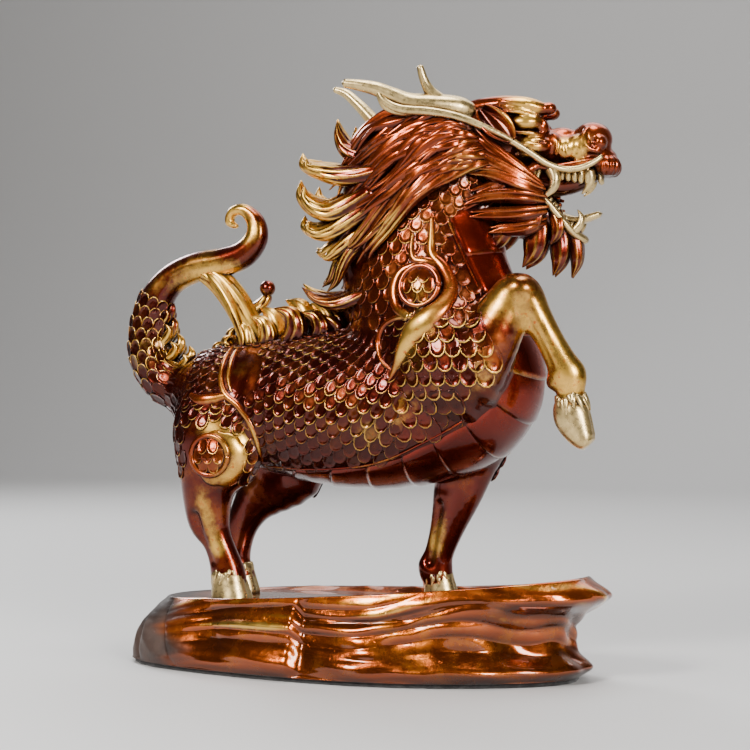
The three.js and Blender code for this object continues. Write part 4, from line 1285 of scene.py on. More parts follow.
class QILIN_OT_head(bpy.types.Operator):
    """Model the head and its jaws as one skin"""
    bl_idname = "qilin.head"
    bl_label = "Head"

    def execute(self, context):
        voxel = context.scene.qilin_sizes.head_voxel
        clay = Clay((-20, -21, -40), (62, 21, 26), voxel)
        self.skull(clay)
        for side in SIDES:
            self.face(clay, side)
        self.mouth(clay)
        clay.soften()
        points, faces = clay.skin()
        points = smoothed(points, faces, 2)
        # The colour is darkest inside the mouth, where the points get a low ridge value.
        inside = (1 - soft_step(4.5, 6.5, np.abs(points[:, 1]))) * soft_step(26, 29, points[:, 0])
        inside *= soft_step(-26, -20, points[:, 2]) * (1 - soft_step(-11, -8.5, points[:, 2]))
        make_piece("qilin_head", turned(points), faces, lacquer("head_lacquer"), 0.5 * (1 - inside))
        return {"FINISHED"}

    @staticmethod
    def skull(clay):
        """The skull, the snout and the lower jaw."""
        clay.limb([(-13, 0, -2, 8, 10), (-5, 0, -1, 12, 16), (6, 0, 0, 12.5, 16.5), (16, 0, 1.5, 11, 13.5),
                   (25, 0, 0.5, 9.6, 8.5), (35, 0, -1, 8, 6.2), (45, 0, -1.5, 7, 5.4),
                   (51, 0, -4.2, 5.4, 3.6)], 2)
        clay.ball((13, 0, 9.5), (12, 9.6, 7.9), 3)
        clay.ball((46, 0, 2.5), (6.9, 6.7, 6.1), 1.2)
        clay.ball((36, 0, 4.2), (4.6, 4.4, 2.8), 1.5)
        clay.limb([(6, 0, -12, 9, 8), (16, 0, -16, 9.4, 6.4), (26, 0, -20.5, 8.2, 5),
                   (34, 0, -26, 6.6, 4.2), (41, 0, -31, 4.6, 2.6)], 2.5)

    # Wrinkles scored into the brow, the cheekbone and the muzzle, on the figure's left.
    WRINKLES = (
        ((16, 11.4, 13.9), (21, 12.2, 13.3), (26.6, 11.2, 11.9)),
        ((17, 11.6, 12.4), (22, 12.4, 11.8), (27.4, 11.2, 10.8)),
        ((20.5, 10.2, 1.8), (25, 12.3, 1.4), (30.4, 10, 0.8)),
        ((21.4, 9.8, -2.4), (26, 11.8, -2.8), (31, 9.9, -3.2)),
        ((38.4, 8.2, 2.6), (37.8, 8.7, -0.4), (38.4, 8.2, -3.4)),
        ((41.2, 8.3, 2.8), (40.7, 8.9, 0), (41.3, 8.3, -2.8)),
    )

    def face(self, clay, side):
        """The forms on one side of the face."""
        def limb(stations, blend=1.0, **options):
            clay.limb(on_side(side, stations), blend, **options)

        def ball(centre, radii, blend=1.0, tilt=0, cut=False):
            clay.ball((centre[0], side * centre[1], centre[2]), radii, blend, tilt, cut)

        # Brow, with a rounded nub at its front end.
        limb([(3, 4.5, 12.6, 3, 3), (10, 6, 13.8, 4, 3.2), (17, 7.2, 14, 4.6, 3.4),
              (24, 7.6, 13.4, 4.4, 3.3), (28.6, 7.4, 12.6, 3, 2.6), (30.2, 7.2, 12.4, 2.2, 1.9)], 0.8)
        ball((31.8, 7, 12.6), (2.7, 2.5, 2.3), 0.5)
        for drop in range(3):
            limb([(15 + drop, 10.6 + 0.3 * drop, 14.6 - 1.5 * drop, 0.9, 0.6),
                  (20 + drop, 11.6 + 0.2 * drop, 14 - 1.5 * drop, 1, 0.6),
                  (26 + drop, 10.8, 12.4 - 1.1 * drop, 0.8, 0.6)], 0.4)
        # The heavy upper lid, the eye that looks out in front of it, and the fold under them.
        ball((24, 8, 7.8), (6, 4.4, 3.3), 0.5)
        ball((29.4, 6.4, 6.2), (2.6, 3.2, 3), 0.4)
        limb([(27.4, 9.6, 9.6, 0.6, 0.6), (30.2, 8.8, 8.4, 0.6, 0.6), (31.4, 7.8, 5.6, 0.6, 0.6),
              (29.6, 8.8, 3.6, 0.6, 0.6)], 0.3)
        limb([(16.6, 10, 5.4, 0.8, 0.7), (20.6, 11.6, 4.2, 0.9, 0.7), (25.6, 11.2, 4, 0.9, 0.7),
              (30, 9, 3.4, 0.8, 0.7)], 0.4)
        # Cheekbone, muzzle pads and the ridge of the nose.
        ball((25.6, 7.8, -0.4), (7, 4.6, 4.2), 0.9)
        ball((33.2, 6, 1.2), (2.8, 2.8, 3), 0.7)
        ball((36.8, 5.6, -1.4), (2.6, 3.2, 4), 0.6)
        ball((41.6, 5, -0.8), (4.6, 3.8, 4.8), 0.7)
        limb([(33.6, 7.4, 3.6, 0.8, 0.7), (35, 8.4, 0.8, 0.9, 0.8), (34.4, 8.6, -3, 0.8, 0.7)], 0.7)
        for line in self.WRINKLES:
            limb([(*point, 0.55, 0.55) for point in line], 0.6, cut=True)
        # Nostril: a coiled wing with a hollow in it.
        limb([(44.6, 5.4, 5.6, 0.9, 0.9), (43.4, 7, 2.4, 1.2, 1.2), (45, 7.4, -1, 1.2, 1.2),
              (48.4, 6.4, -2, 1, 1)], 0.7)
        ball((48.6, 5.2, 1), (2.7, 2.5, 2.8), 0.7)
        ball((46.6, 7.4, 1.4), (1.1, 1.3, 1.7), 0.5, cut=True)
        # Upper lip with its lobes, and the ribbed bump in front.
        limb([(27, 8.6, -6.6, 1.4, 1.3), (33, 8.6, -7.6, 1.4, 1.4), (39.5, 7.8, -6.8, 1.3, 1.4),
              (46, 6.4, -5.6, 1.5, 1.5), (50.6, 4.6, -5.4, 1.6, 1.8)], 0.9)
        ball((50.6, 2.4, -6.8), (4.6, 4.2, 3.6), 1.2)
        for i in range(6):
            turn = math.radians(23 * i - 15)
            rib = []
            for rise in (65, 35, 5, -25, -50):
                level = math.radians(rise)
                out = math.cos(level)
                rib.append((50.6 + 4.9 * math.cos(turn) * out, 2.4 + 4.5 * math.sin(turn) * out,
                            -6.8 + 3.9 * math.sin(level), 0.6, 0.6))
            limb(rib, 0.3)
        # Lower lip and the folds at the corner of the mouth.
        limb([(27.5, 9, -15.8, 1.4, 1.3), (31.5, 8.2, -19.4, 1.3, 1.2), (35.4, 6.9, -24.2, 1.3, 1.2),
              (39.4, 5.2, -28.8, 1.3, 1.2), (42.4, 2.6, -31, 1.4, 1.3), (43, 0, -31.4, 1.4, 1.3)], 0.8)
        limb([(27.6, 8.8, -6.8, 1.4, 1.5), (25.4, 9.6, -10, 1.5, 1.6), (26.4, 9.4, -14.6, 1.4, 1.5)], 0.9)
        for i in range(3):
            limb([(26 - 2.6 * i, 9.8 + 0.8 * i, -7.6 - 1.6 * i, 1.2, 1.1),
                  (21 - 3 * i, 11 + 0.8 * i, -10.2 - 2.6 * i, 1.5, 1.3),
                  (14 - 3 * i, 12 + 0.6 * i, -12.6 - 3.4 * i, 1.3, 1.2),
                  (6 - 3 * i, 13 + 0.4 * i, -15.4 - 4 * i, 0.7, 0.7)], 0.8)

    @staticmethod
    def mouth(clay):
        """Hollows out the open mouth between the palate and the lower jaw."""
        clay.limb([(26.5, 0, -12.2, 7.2, 3.4), (33, 0, -13.6, 6.4, 5.2), (40, 0, -16, 5, 6),
                   (50, 0, -21, 5, 7.5), (62, 0, -27, 6, 9)], 1.6, cut=True)
        clay.limb([(29, 0, -12, 5, 3.8), (35, 0, -12.6, 4.2, 4), (41, 0, -11.8, 3.4, 3.4),
                   (46, 0, -10, 2.6, 2.2)], 1.2)
        clay.limb([(30, 0, -19.5, 5, 1.8), (35.5, 0, -24.4, 4.2, 2), (40.4, 0, -28.2, 2.8, 1.8)], 0.7,
                  cut=True)


class QILIN_OT_ears(bpy.types.Operator):
    """Model the folded, leaf-shaped ears"""
    bl_idname = "qilin.ears"
    bl_label = "Ears"

    def execute(self, context):
        bundle = Bundle()
        for side in SIDES:
            self.leaf(bundle, side)
        bundle.make("ears", lacquer("head_lacquer"))
        return {"FINISHED"}

    @staticmethod
    def leaf(bundle, side):
        """One ear, folded like a leaf."""
        root, tip = np.array([8.5, side * 11, 12.6]), np.array([19.6, side * 14.2, 0.6])
        line = tip - root
        out = unit(np.array([0.42, side * 1.0, 0.16]))
        across = unit(np.cross(line, out)) * side
        steps, cells = 22, 20
        front, back = [], []
        for i in range(steps + 1):
            t = i / steps
            half = 5.2 * math.sin(math.pi * min(t * 0.92 + 0.06, 1))**0.62
            for j in range(cells + 1):
                s = 2 * j / cells - 1
                dish = 1.9 * (s * s) - 1.8 + 0.55 * math.cos(6 * s) + 0.35 * math.cos(9.5 * s + 2 * t)
                roll = 1.3 * math.exp(-((abs(s) - 0.84) / 0.16)**2)
                at = root + line * t + across * half * s + out * (1.4 + dish + roll)
                front.append(at)
                back.append(at - out * (1.3 - 0.6 * s * s))
        faces = slab_faces(steps + 1, cells + 1)
        if side < 0:
            faces = [face[::-1] for face in faces]
        sideways = np.tile(np.abs(np.linspace(-1, 1, cells + 1)), steps + 1)
        rolled = np.exp(-((sideways - 0.84) / 0.2)**2)
        bundle.add(turned(np.array(front + back)), faces, np.concatenate([rolled, np.full(len(back), 0.3)]))


# Fangs in the head's frame, on its left: their line, half width, half depth and how fast they taper.
FANGS = (
    ([(33, 8.4, -8), (34.2, 9.4, -11.4), (33.2, 9.8, -15), (29.4, 9.6, -18.6)], 2.3, 2.3, 0.6),
    ([(45.4, 4.9, -8.6), (45.8, 5.1, -11.4), (44.8, 5.1, -14), (42.8, 4.9, -16.2)], 1.9, 1.8, 0.55),
    ([(40, 4.8, -29), (42.2, 5.1, -26.4), (42.6, 5.2, -23.8), (41.4, 5, -21.6)], 1.5, 1.5, 0.6),
)
# The folds at the corner of the mouth and the lower gum, on the head's left, and the points round each.
GUMS = (
    ([(28, 8.6, -7.6, 0.7, 0.7), (26.4, 9.8, -11, 0.9, 0.9), (27, 9.9, -14.6, 0.9, 0.9),
      (29.4, 9.2, -18, 0.7, 0.7)], 10),
    ([(29, 9, -8.2, 0.6, 0.6), (28.2, 9.8, -11.4, 0.7, 0.7), (29.4, 9.8, -15, 0.6, 0.6)], 10),
    ([(28.6, 8.9, -16.2, 1.1, 1.0), (32.4, 8.2, -20.2, 1.35, 1.25), (36, 6.9, -24.8, 1.5, 1.4),
      (39.6, 5.3, -29, 1.5, 1.4), (42.6, 2.8, -31, 1.5, 1.4), (43.4, -0.2, -31.5, 1.5, 1.4)], 12),
)
TONGUE = (
    (26, 0, -17.4, 3, 1.6), (31, 0, -20.6, 3.8, 1.8), (36, 0, -23.8, 3.8, 1.8), (40.5, 0, -25, 3.4, 1.7),
    (45, 0, -24, 2.9, 1.5), (48.4, 0, -22.8, 2.1, 1.2),
)


class QILIN_OT_mouth(bpy.types.Operator):
    """Model the teeth, the fangs, the gums and the tongue"""
    bl_idname = "qilin.mouth"
    bl_label = "Mouth"

    def execute(self, context):
        bundle = Bundle()

        def loft(stations, around=10, per_span=5, **options):
            bundle.loft(stations, around, per_span, head=True, **options)

        for side in SIDES:
            for line, wide, deep, power in FANGS:
                loft(on_side(side, tapered(line, wide, deep, power)), 12)
            for stations, around in GUMS:
                loft(on_side(side, stations), around)
            for i in range(5):
                x, y = 36 + 2.15 * i, 7.3 - 0.42 * i
                upper = [(x, y, -7.2, 1.15, 1.2), (x + 0.1, y, -9.4 - 0.2 * i, 1.2, 1.25),
                         (x + 0.1, y - 0.1, -11.3 - 0.35 * i, 0.95, 0.95)]
                loft(on_side(side, upper), 10, 4)
                x, y, z = 31.2 + 1.75 * i, 6.8 - 0.5 * i, -19.4 - 2.1 * i
                lower = [(x, y, z - 0.6, 1.0, 1.0), (x + 0.9, y, z + 0.9, 0.95, 0.9),
                         (x + 1.4, y, z + 1.9, 0.6, 0.6)]
                loft(on_side(side, lower), 8, 3)
            for i in range(2):
                x, y = 0.2 * i, 1.2 + 2 * i
                front = [(49 - x, y, -8, 1.05, 0.9), (49.2 - x, y, -12.2, 1.0, 0.8)]
                loft(on_side(side, front), 10, 4)

        def furrow(angle, share):
            middle = line_at(angle, -np.pi / 2, 0.4)
            return 1 - 0.22 * middle, 0.6 - 0.3 * middle
        loft(TONGUE, 20, 6, groove=furrow, blunt=1.0)
        bundle.make("mouth_parts", pale_brass())
        return {"FINISHED"}


# In the head's frame: the near horn with its two branches, and the far one with its branch.
HORNS = (
    [(5.6, -7.4, 11.6, 3.2, 3.6), (1, -9.2, 13.2, 3.9, 4.2), (-6, -11, 13.8, 3.9, 4.1),
     (-14.8, -13, 14.6, 3.3, 3.6), (-20.6, -14.2, 17.2, 2.9, 3), (-26, -15.4, 19.6, 2.4, 2.5),
     (-31.6, -16, 20.8, 1.9, 2), (-37, -16.2, 21.6, 1.5, 1.5)],
    [(-4.4, -10.8, 14.6, 2.8, 3.4), (-8, -11.6, 18.4, 1.9, 2.2), (-10, -12, 22.6, 1.5, 1.6),
     (-11.5, -12.5, 27.2, 1.25, 1.25)],
    [(-10, -12.4, 14, 2.2, 2.6), (-16.5, -14.6, 12.2, 1.7, 2.2), (-22.4, -15.8, 13.8, 1.3, 1.7),
     (-25.6, -16.4, 18.6, 0.7, 0.9)],
    [(8, 7.5, 12, 3.4, 3.4), (-6, 9, 8.4, 3.4, 3.6), (-20, 9.4, 6.6, 3, 3.2), (-29, 10.6, 10, 2.5, 2.7),
     (-36.6, 12, 17.6, 2, 2.1), (-41.5, 13, 22, 1.6, 1.7), (-46, 13.2, 23.8, 1.1, 1.1)],
    [(-14, 9.4, 8, 2.4, 2.4), (-17, 10, 13, 1.6, 1.6), (-18.4, 10.4, 17, 1.1, 1.1)],
)
# The whisker on the head's left, from the nostril back.
WHISKER = (
    (49.6, 6.6, -3.8, 0.85, 0.9), (46.6, 7.6, -6, 0.95, 1), (42, 8.6, -7.9, 1, 1.1),
    (37, 9.6, -8.2, 1, 1.1), (31.5, 11, -6.4, 1, 1.15), (25.5, 12.4, -2.4, 1, 1.15),
    (19, 13.8, 1.6, 1, 1.15), (9.5, 15.6, 6.4, 1, 1.2), (1, 16.4, 9.6, 1.1, 1.35),
    (-8, 16.4, 11.4, 1.15, 1.5), (-17.5, 16.8, 12.4, 1.15, 1.5), (-23, 16.8, 15.2, 0.9, 1.2),
    (-25.4, 16.6, 19, 0.6, 0.7),
)


class QILIN_OT_horns(bpy.types.Operator):
    """Model the swept horns and the long whiskers"""
    bl_idname = "qilin.horns"
    bl_label = "Horns and whiskers"

    def execute(self, context):
        bundle = Bundle()

        def knotted(angle, share):
            knot = np.sin(9 * share + 1.5 * np.sin(angle)) * 0.04
            groove = 0.05 * np.abs(np.sin(2.5 * angle + 2 * share))
            return 1 + knot - groove, 0.7

        for stations in HORNS:
            bundle.loft(stations, 20, 8, head=True, groove=knotted)
        for side in SIDES:
            bundle.loft(on_side(side, WHISKER), 12, 6, head=True)
        bundle.make("horns_and_whiskers", pale_brass())
        return {"FINISHED"}


# Hair

# Locks behind the neck: their line [x, z] in the middle plane, half width and half thickness.
BACK_LOCKS = [
    ([(3, 155), (-3, 156), (-8, 159.5), (-10.5, 164.5), (-11.5, 169.5)], 5.0, 4.2),
    ([(5, 150), (-5, 149.5), (-13, 150.5), (-19.5, 152.4), (-24, 154.6), (-25, 158)], 5.6, 4.6),
    ([(2, 143), (-8, 139), (-15, 137.6), (-21, 139.8), (-25, 144), (-25.6, 148.5)], 6.2, 5.0),
    ([(2, 138), (-7, 134), (-14, 131.2), (-19.5, 130.8), (-23.6, 133), (-24.2, 136)], 5.4, 4.2),
    ([(1, 130), (-6, 127.6), (-12, 124.8), (-16.5, 123.2), (-19.4, 124.2)], 4.8, 3.8),
    ([(-1, 127), (-7, 123.6), (-11, 118.8), (-13.6, 114.4), (-17, 111.8)], 3.8, 3.0),
    ([(-1, 108), (-9, 106.2), (-15, 106.4), (-20.5, 108.4), (-24.8, 111.8)], 4.4, 3.4),
]
# Each lock stands in the middle and twice on either side: how far out, ahead and down, and its size.
LOCK_ROWS = (
    (0, 0, 0, 1.0), (-6.5, 2.2, 1.2, 0.92), (6.5, 2.2, 1.2, 0.92), (-12, 5.5, 2.6, 0.84),
    (12, 5.5, 2.6, 0.84),
)
# Guides for the hair that sweeps back from the cheek: [x, y, z] on the figure's left, top to bottom.
CHEEK_GUIDES = [
    [(38, 9.5, 165), (29, 12.5, 168), (18, 13, 167.5), (6, 12.4, 162.5), (-5, 9.5, 153)],
    [(40, 12.2, 163), (32, 14.6, 164.5), (21, 15.2, 161), (8, 14, 154.5), (-4, 11.5, 145)],
    [(42, 13.4, 162.5), (35.5, 16, 162.6), (25.5, 16.8, 158.4), (13, 15.8, 150), (-2, 13.5, 139)],
    [(44, 14, 158), (37.5, 17, 157.6), (28, 17.6, 153.4), (15, 16.8, 143), (-1, 15, 130)],
    [(46.5, 13.8, 154), (40, 17, 153), (31, 18, 149.4), (19, 17.8, 139.6), (4, 16.6, 124)],
    [(47.5, 12.8, 149.6), (41.5, 16.4, 148.4), (33.5, 17.6, 145.4), (23, 18.2, 139), (9, 18.6, 122)],
]
# Strands that fan out from the corner of the mouth: up under the whisker, and back to the neck.
JAW_STRANDS = (
    ((63.5, 9.4, 142.5), (57.5, 11.5, 147.6), (52, 13, 152.4), (46.8, 14, 157), (42.4, 13.6, 161)),
    ((64, 9.6, 141.4), (58, 12, 145.4), (52.4, 13.4, 149), (47.4, 14.4, 152), (43, 15, 154.4)),
    ((64.5, 9.4, 140.4), (58.6, 12, 143), (53, 13.6, 145.4), (47.6, 14.8, 147.2), (42, 16, 147.2)),
    ((65, 9.4, 138), (59, 12, 139.2), (53, 13.4, 139.6), (46.6, 14.6, 139), (39.6, 15.6, 136.8)),
    ((65.4, 8.8, 134.6), (59.4, 11, 133.8), (53, 12.4, 133.4), (46.8, 13, 133.4), (40.8, 13.8, 132.8)),
    ((64.4, 7.4, 130.8), (60, 9.6, 129.4), (55.6, 10.4, 128.6), (51, 10.6, 128.4), (46.6, 10.8, 127.6)),
)


def between_guides(share):
    """A hair's path part of the way from the top guide to the bottom one."""
    place = share * (len(CHEEK_GUIDES) - 1)
    first = min(int(place), len(CHEEK_GUIDES) - 2)
    mix = place - first
    return (1 - mix) * np.array(CHEEK_GUIDES[first], float) + mix * np.array(CHEEK_GUIDES[first + 1], float)


def beside_head(side, path):
    """Mirrors a hair's path to one side and lets it follow the turned head."""
    path = np.array(path, float)
    path[:, 1] = side * path[:, 1] + 0.2 * np.maximum(path[:, 0] - 25, 0)
    return path


class QILIN_OT_mane(bpy.types.Operator):
    """Comb the mane: pointed locks behind the neck and flowing strands over its sides"""
    bl_idname = "qilin.mane"
    bl_label = "Mane"

    def execute(self, context):
        bundle = Bundle()
        for number, (points, wide, thick) in enumerate(BACK_LOCKS):
            for row, (out, ahead, down, size) in enumerate(LOCK_ROWS):
                if number == 0 and abs(out) > 10:
                    continue
                path = []
                for i, (x, z) in enumerate(points):
                    t = i / (len(points) - 1)
                    path.append((x + ahead * (1 + 0.5 * t), out * (1 + 0.3 * t), z - down * (0.4 + t)))
                bundle.loft(tapered(path, wide * size, thick * size, 0.62, 0.15), 30, 7,
                            groove=strands(9, 0.2, 0.8 if row % 2 else -0.8))
        bundle.make("mane_locks", lacquer("hair_lacquer"))
        self.cheek_hair()
        return {"FINISHED"}

    @staticmethod
    def cheek_hair():
        """The hair that sweeps back from the cheeks, the jaw and the crown."""
        bundle = Bundle()
        rows, over = 24, 24
        for side in SIDES:
            for i in range(rows + over):
                top_layer = i >= rows
                share = (i - rows + 0.4) / over if top_layer else i / (rows - 1)
                path = through(between_guides(share), 3)
                t = np.linspace(0, 1, len(path))
                waves = 3.0 + 0.9 * math.sin(1.3 * i)
                path[:, 2] += (0.6 + 1.5 * t) * np.sin(waves * math.pi * t + 1.9 * i)
                path[:, 1] += 0.7 * np.sin(1.3 * waves * math.pi * t + 2.3 * i) + float(top_layer)
                path[:, 0] += 1.2 * math.sin(1.1 * i)
                if top_layer:
                    path = path[: 8 + i % 5]
                else:
                    tail = np.array([-3.0 - 2.4 * math.sin(1.9 * i), -1.4, -3.4 - 1.6 * math.cos(1.3 * i)])
                    path = np.vstack([path, path[-1] + tail])
                size = (0.9 if top_layer else 1.7) + 0.3 * math.sin(2.7 * i + 0.4)
                bundle.loft(tapered(beside_head(side, path), size, size * 1.2, 0.45, 0.35, 0.3), 16, 3,
                            groove=strands(4 if top_layer else 5, 0.28, 1.5 * math.sin(i)))
            for path in JAW_STRANDS:
                bundle.loft(tapered(beside_head(side, path), 1.9, 2.2, 0.4, 0.3, 0.3), 18, 6,
                            groove=strands(5, 0.26, 0.8))
                over_it = [(x + 0.8, y + 0.6, z + 1.6) for x, y, z in path]
                bundle.loft(tapered(beside_head(side, over_it), 0.9, 1.1, 0.4, 0.3, 0.3), 12, 6,
                            groove=strands(3, 0.2, 0.8))
        for i in range(11):
            out = 1.5 * (i - 5)
            path = [(36, out, 167), (28, out * 1.1, 170), (19, out * 1.1, 170.8 + 0.6 * math.sin(2.3 * i)),
                    (10, out * 1.1, 169), (2.5, out * 1.1, 164.6), (-3, out * 1.1, 158.4 - math.sin(1.7 * i)),
                    (-7.5, out, 150.5)]
            bundle.loft(tapered(beside_head(1, path), 2.0, 2.2, 0.5, 0.4, 0.3), 18, 5,
                        groove=strands(5, 0.28, 1.2))
        bundle.make("cheek_hair", lacquer("strand_lacquer"))


# Tufts of the beard in the head's frame: their line, half width and half thickness.
BEARD = [
    ([(38.6, 1.6, -27), (40.4, 2.4, -33), (40.8, 2.9, -39), (39.2, 2.6, -44.4)], 2.9, 2.4),
    ([(33.4, 3.4, -26), (35.2, 4.4, -32.5), (35, 5, -38.6), (33, 5, -43.8)], 4.0, 2.6),
    ([(26.5, 4.6, -23), (27.4, 6, -29.6), (26.2, 6.6, -36), (22.8, 6.6, -41)], 5.0, 2.8),
    ([(19, 6, -20), (17.6, 7.6, -26), (14.8, 8.2, -31.6), (11.4, 8, -36)], 4.8, 2.8),
    ([(11, 7, -16), (8, 8.8, -21), (5, 9.6, -25.6), (1.6, 9.8, -29.4)], 4.2, 2.6),
    ([(33.6, 6.2, -22.6), (34.8, 7.4, -26.6), (34.2, 7.6, -30.4), (32, 7, -33.6)], 2.6, 1.6),
    ([(27.4, 7.4, -19.6), (27.6, 8.8, -23.8), (26.4, 9, -27.8), (23.8, 8.4, -31)], 2.8, 1.7),
]


class QILIN_OT_beard(bpy.types.Operator):
    """Hang the spiky tufts of beard under the jaw"""
    bl_idname = "qilin.beard"
    bl_label = "Beard"

    def execute(self, context):
        bundle = Bundle()
        for side in SIDES:
            for points, wide, thick in BEARD:
                bundle.loft(on_side(side, tapered(points, thick, wide, 0.5, 0.15)), 26, 7, head=True,
                            groove=strands(7, 0.16, 0.5))
        bundle.make("beard", lacquer("hair_lacquer"))
        return {"FINISHED"}


# Tufts in the middle plane: their line [x, z], half width and half depth.
SPINE_TUFTS = [
    ([(-44, 87), (-44.4, 93), (-45.6, 98.6), (-49, 102)], 3.2, 3.6),
    ([(-37, 88), (-35.8, 94.6), (-37.4, 100.4), (-41.4, 103.6)], 3.6, 4.2),
    ([(-27.4, 89), (-24.4, 96.6), (-25.8, 103), (-31.6, 106.2)], 5.0, 5.4),
    ([(-17.6, 91), (-15, 97), (-17, 102.2), (-22.4, 104.8)], 4.0, 4.2),
    ([(-10.6, 93), (-9.6, 97.6), (-12, 101), (-16, 103)], 2.8, 2.6),
    ([(-50, 88), (-52.6, 92), (-53, 94.6), (-50.8, 97)], 2.4, 2.4),
    ([(-56, 85), (-58.6, 87.4), (-58.4, 90), (-56, 91.4)], 2.1, 2.1),
    ([(-62, 82), (-62.4, 84.6), (-61, 86.6), (-59, 87)], 1.8, 1.7),
    ([(-68, 80), (-66.4, 82.8), (-65.6, 85.4), (-66.6, 87.4)], 2.0, 1.9),
    ([(-73, 82), (-70.4, 84.6), (-69, 87.4), (-70, 90)], 2.2, 2.1),
    ([(-77, 86), (-74.4, 89), (-73.4, 92), (-75, 94.6)], 2.2, 2.1),
    ([(-79.5, 92), (-77, 95.2), (-76, 98.4), (-77.4, 101)], 2.0, 1.9),
    ([(-79.5, 99), (-77.6, 101.6), (-77, 104.4), (-78, 106.4)], 1.7, 1.6),
]
# The tail's branch, the strand on each of its sides, as on the figure's left, and the stem of its bud.
BRANCH = (
    (-71, 0, 117.8, 3, 3), (-64, 0, 117, 4, 4.2), (-57.5, 0, 113, 4.7, 5), (-52, 0, 107, 5.1, 5.4),
    (-47.6, 0, 100, 5.2, 5.4), (-44, 0, 93, 5, 5.4), (-41.5, 0, 87, 4.4, 5),
)
BRANCH_STRAND = (
    (-64, 1.4, 117.6), (-58.4, 2.8, 113.6), (-53, 4.2, 107), (-48.5, 5.4, 99), (-46, 6, 92), (-47, 6.4, 87),
)
BUD_STEM = ((-46, 2, 102), (-43, 3.6, 104.6), (-41, 4.4, 107.5), (-40.7, 4.4, 110))


class QILIN_OT_tufts(bpy.types.Operator):
    """Set the flame-like tufts along the spine and in the loop of the tail, and the tail's branch"""
    bl_idname = "qilin.tufts"
    bl_label = "Tail branch and tufts"

    def execute(self, context):
        bundle = Bundle()
        for points, wide, thick in SPINE_TUFTS:
            around, count = (28, 9) if wide > 3 else (16, 5)
            for out in (0, -1, 1):
                shift = out * wide * 0.95
                path = [(x - 0.7 * abs(out), shift * (1 + 0.25 * i), z - abs(out) * (0.8 + 0.8 * i))
                        for i, (x, z) in enumerate(points)]
                size = 1 if out == 0 else 0.82
                bundle.loft(tapered(path, wide * size * 0.8, thick * size, 0.5, 0.3), around, 6,
                            groove=strands(count, 0.24, 0.7 * out))
        bundle.loft(BRANCH, 36, 8, groove=strands(8, 0.2, 0.6))
        for side in SIDES:
            bundle.loft(tapered(on_side(side, BRANCH_STRAND), 2.4, 2.8, 0.5, 0, 0.4), 20, 7,
                        groove=strands(5, 0.2, 1.0))
        bundle.loft(tapered(BUD_STEM, 2.6, 2.6, 0.35), 16, 6, groove=strands(5, 0.14, 0.6))
        bundle.ball((-40.7, 4.2, 110.6), (2.9, 2.7, 3.0), 20, 0.6)
        bundle.make("tail_hair", lacquer("hair_lacquer"))
        return {"FINISHED"}


# The rock

def rock_material():
    """Amber lacquer, deep in its grooves, partly lacquer gathered there and partly painted shade, with
    painted shade on its undersides; golden on its crests, dark and dull at the tail end.
    """
    tones = bpy.context.scene.qilin_colours
    material, w, shader = new_finish("amber_lacquer", Coat_Roughness=0.06)
    rubbed = place_lacquer(w, 0.62, 0.85, (tones.rock_deep, tones.rock_amber, tones.rock_glow, tones.gold))
    dark = w.attribute("soot")
    soot = w.mix(w.spread(w.noise(60, 4, 0.6), 0.4, 0.65), (*tones.soot, 1), (*tones.soot_pale, 1))
    w.put(w.mix(dark, rubbed["Color"], soot), shader["Base Color"])
    w.put(w.plus(rubbed["Roughness"], w.times(dark, 0.32)), shader["Roughness"])
    w.put(w.times(rubbed["Metallic"], w.spread(dark, 0, 1, 1, 0.35)), shader["Metallic"])
    w.put(w.spread(dark, 0, 1, 0.95, 0.12), shader["Coat Weight"])
    skin = w.group("Cast skin", grain_group, {"Ripple": 1.2, "Pits": 0.6})
    w.put(w.bump(skin["Height"], 0.5, 0.0004), shader["Normal"])
    return material


# Points in each ring of the rock.
ROCK_AROUND = 520
# The rock's flank from its foot up: [share of the height, growth at the tail, on the flanks, at the head].
ROCK_LEVELS = (
    (0.0, -2.0, 0.0, -3.5), (0.16, -1.5, 1.0, 0.0), (0.34, -2.0, 0.0, -5.5), (0.52, -4.0, -2.2, -6.0),
    (0.7, -7.0, -2.5, -2.0), (0.86, -11.0, -4.5, 6.5), (1.0, -16.0, -5.5, 0.0),
)
ROCK_TOP_RINGS = 14
# The rock's top lies just under the hooves' soles.
ROCK_TOP = -0.06
# The top's rings reach its margin after one part in TOP_RATE of their number, then close in on its middle.
TOP_RATE = 2.2
TOP_CLOSING = 0.82


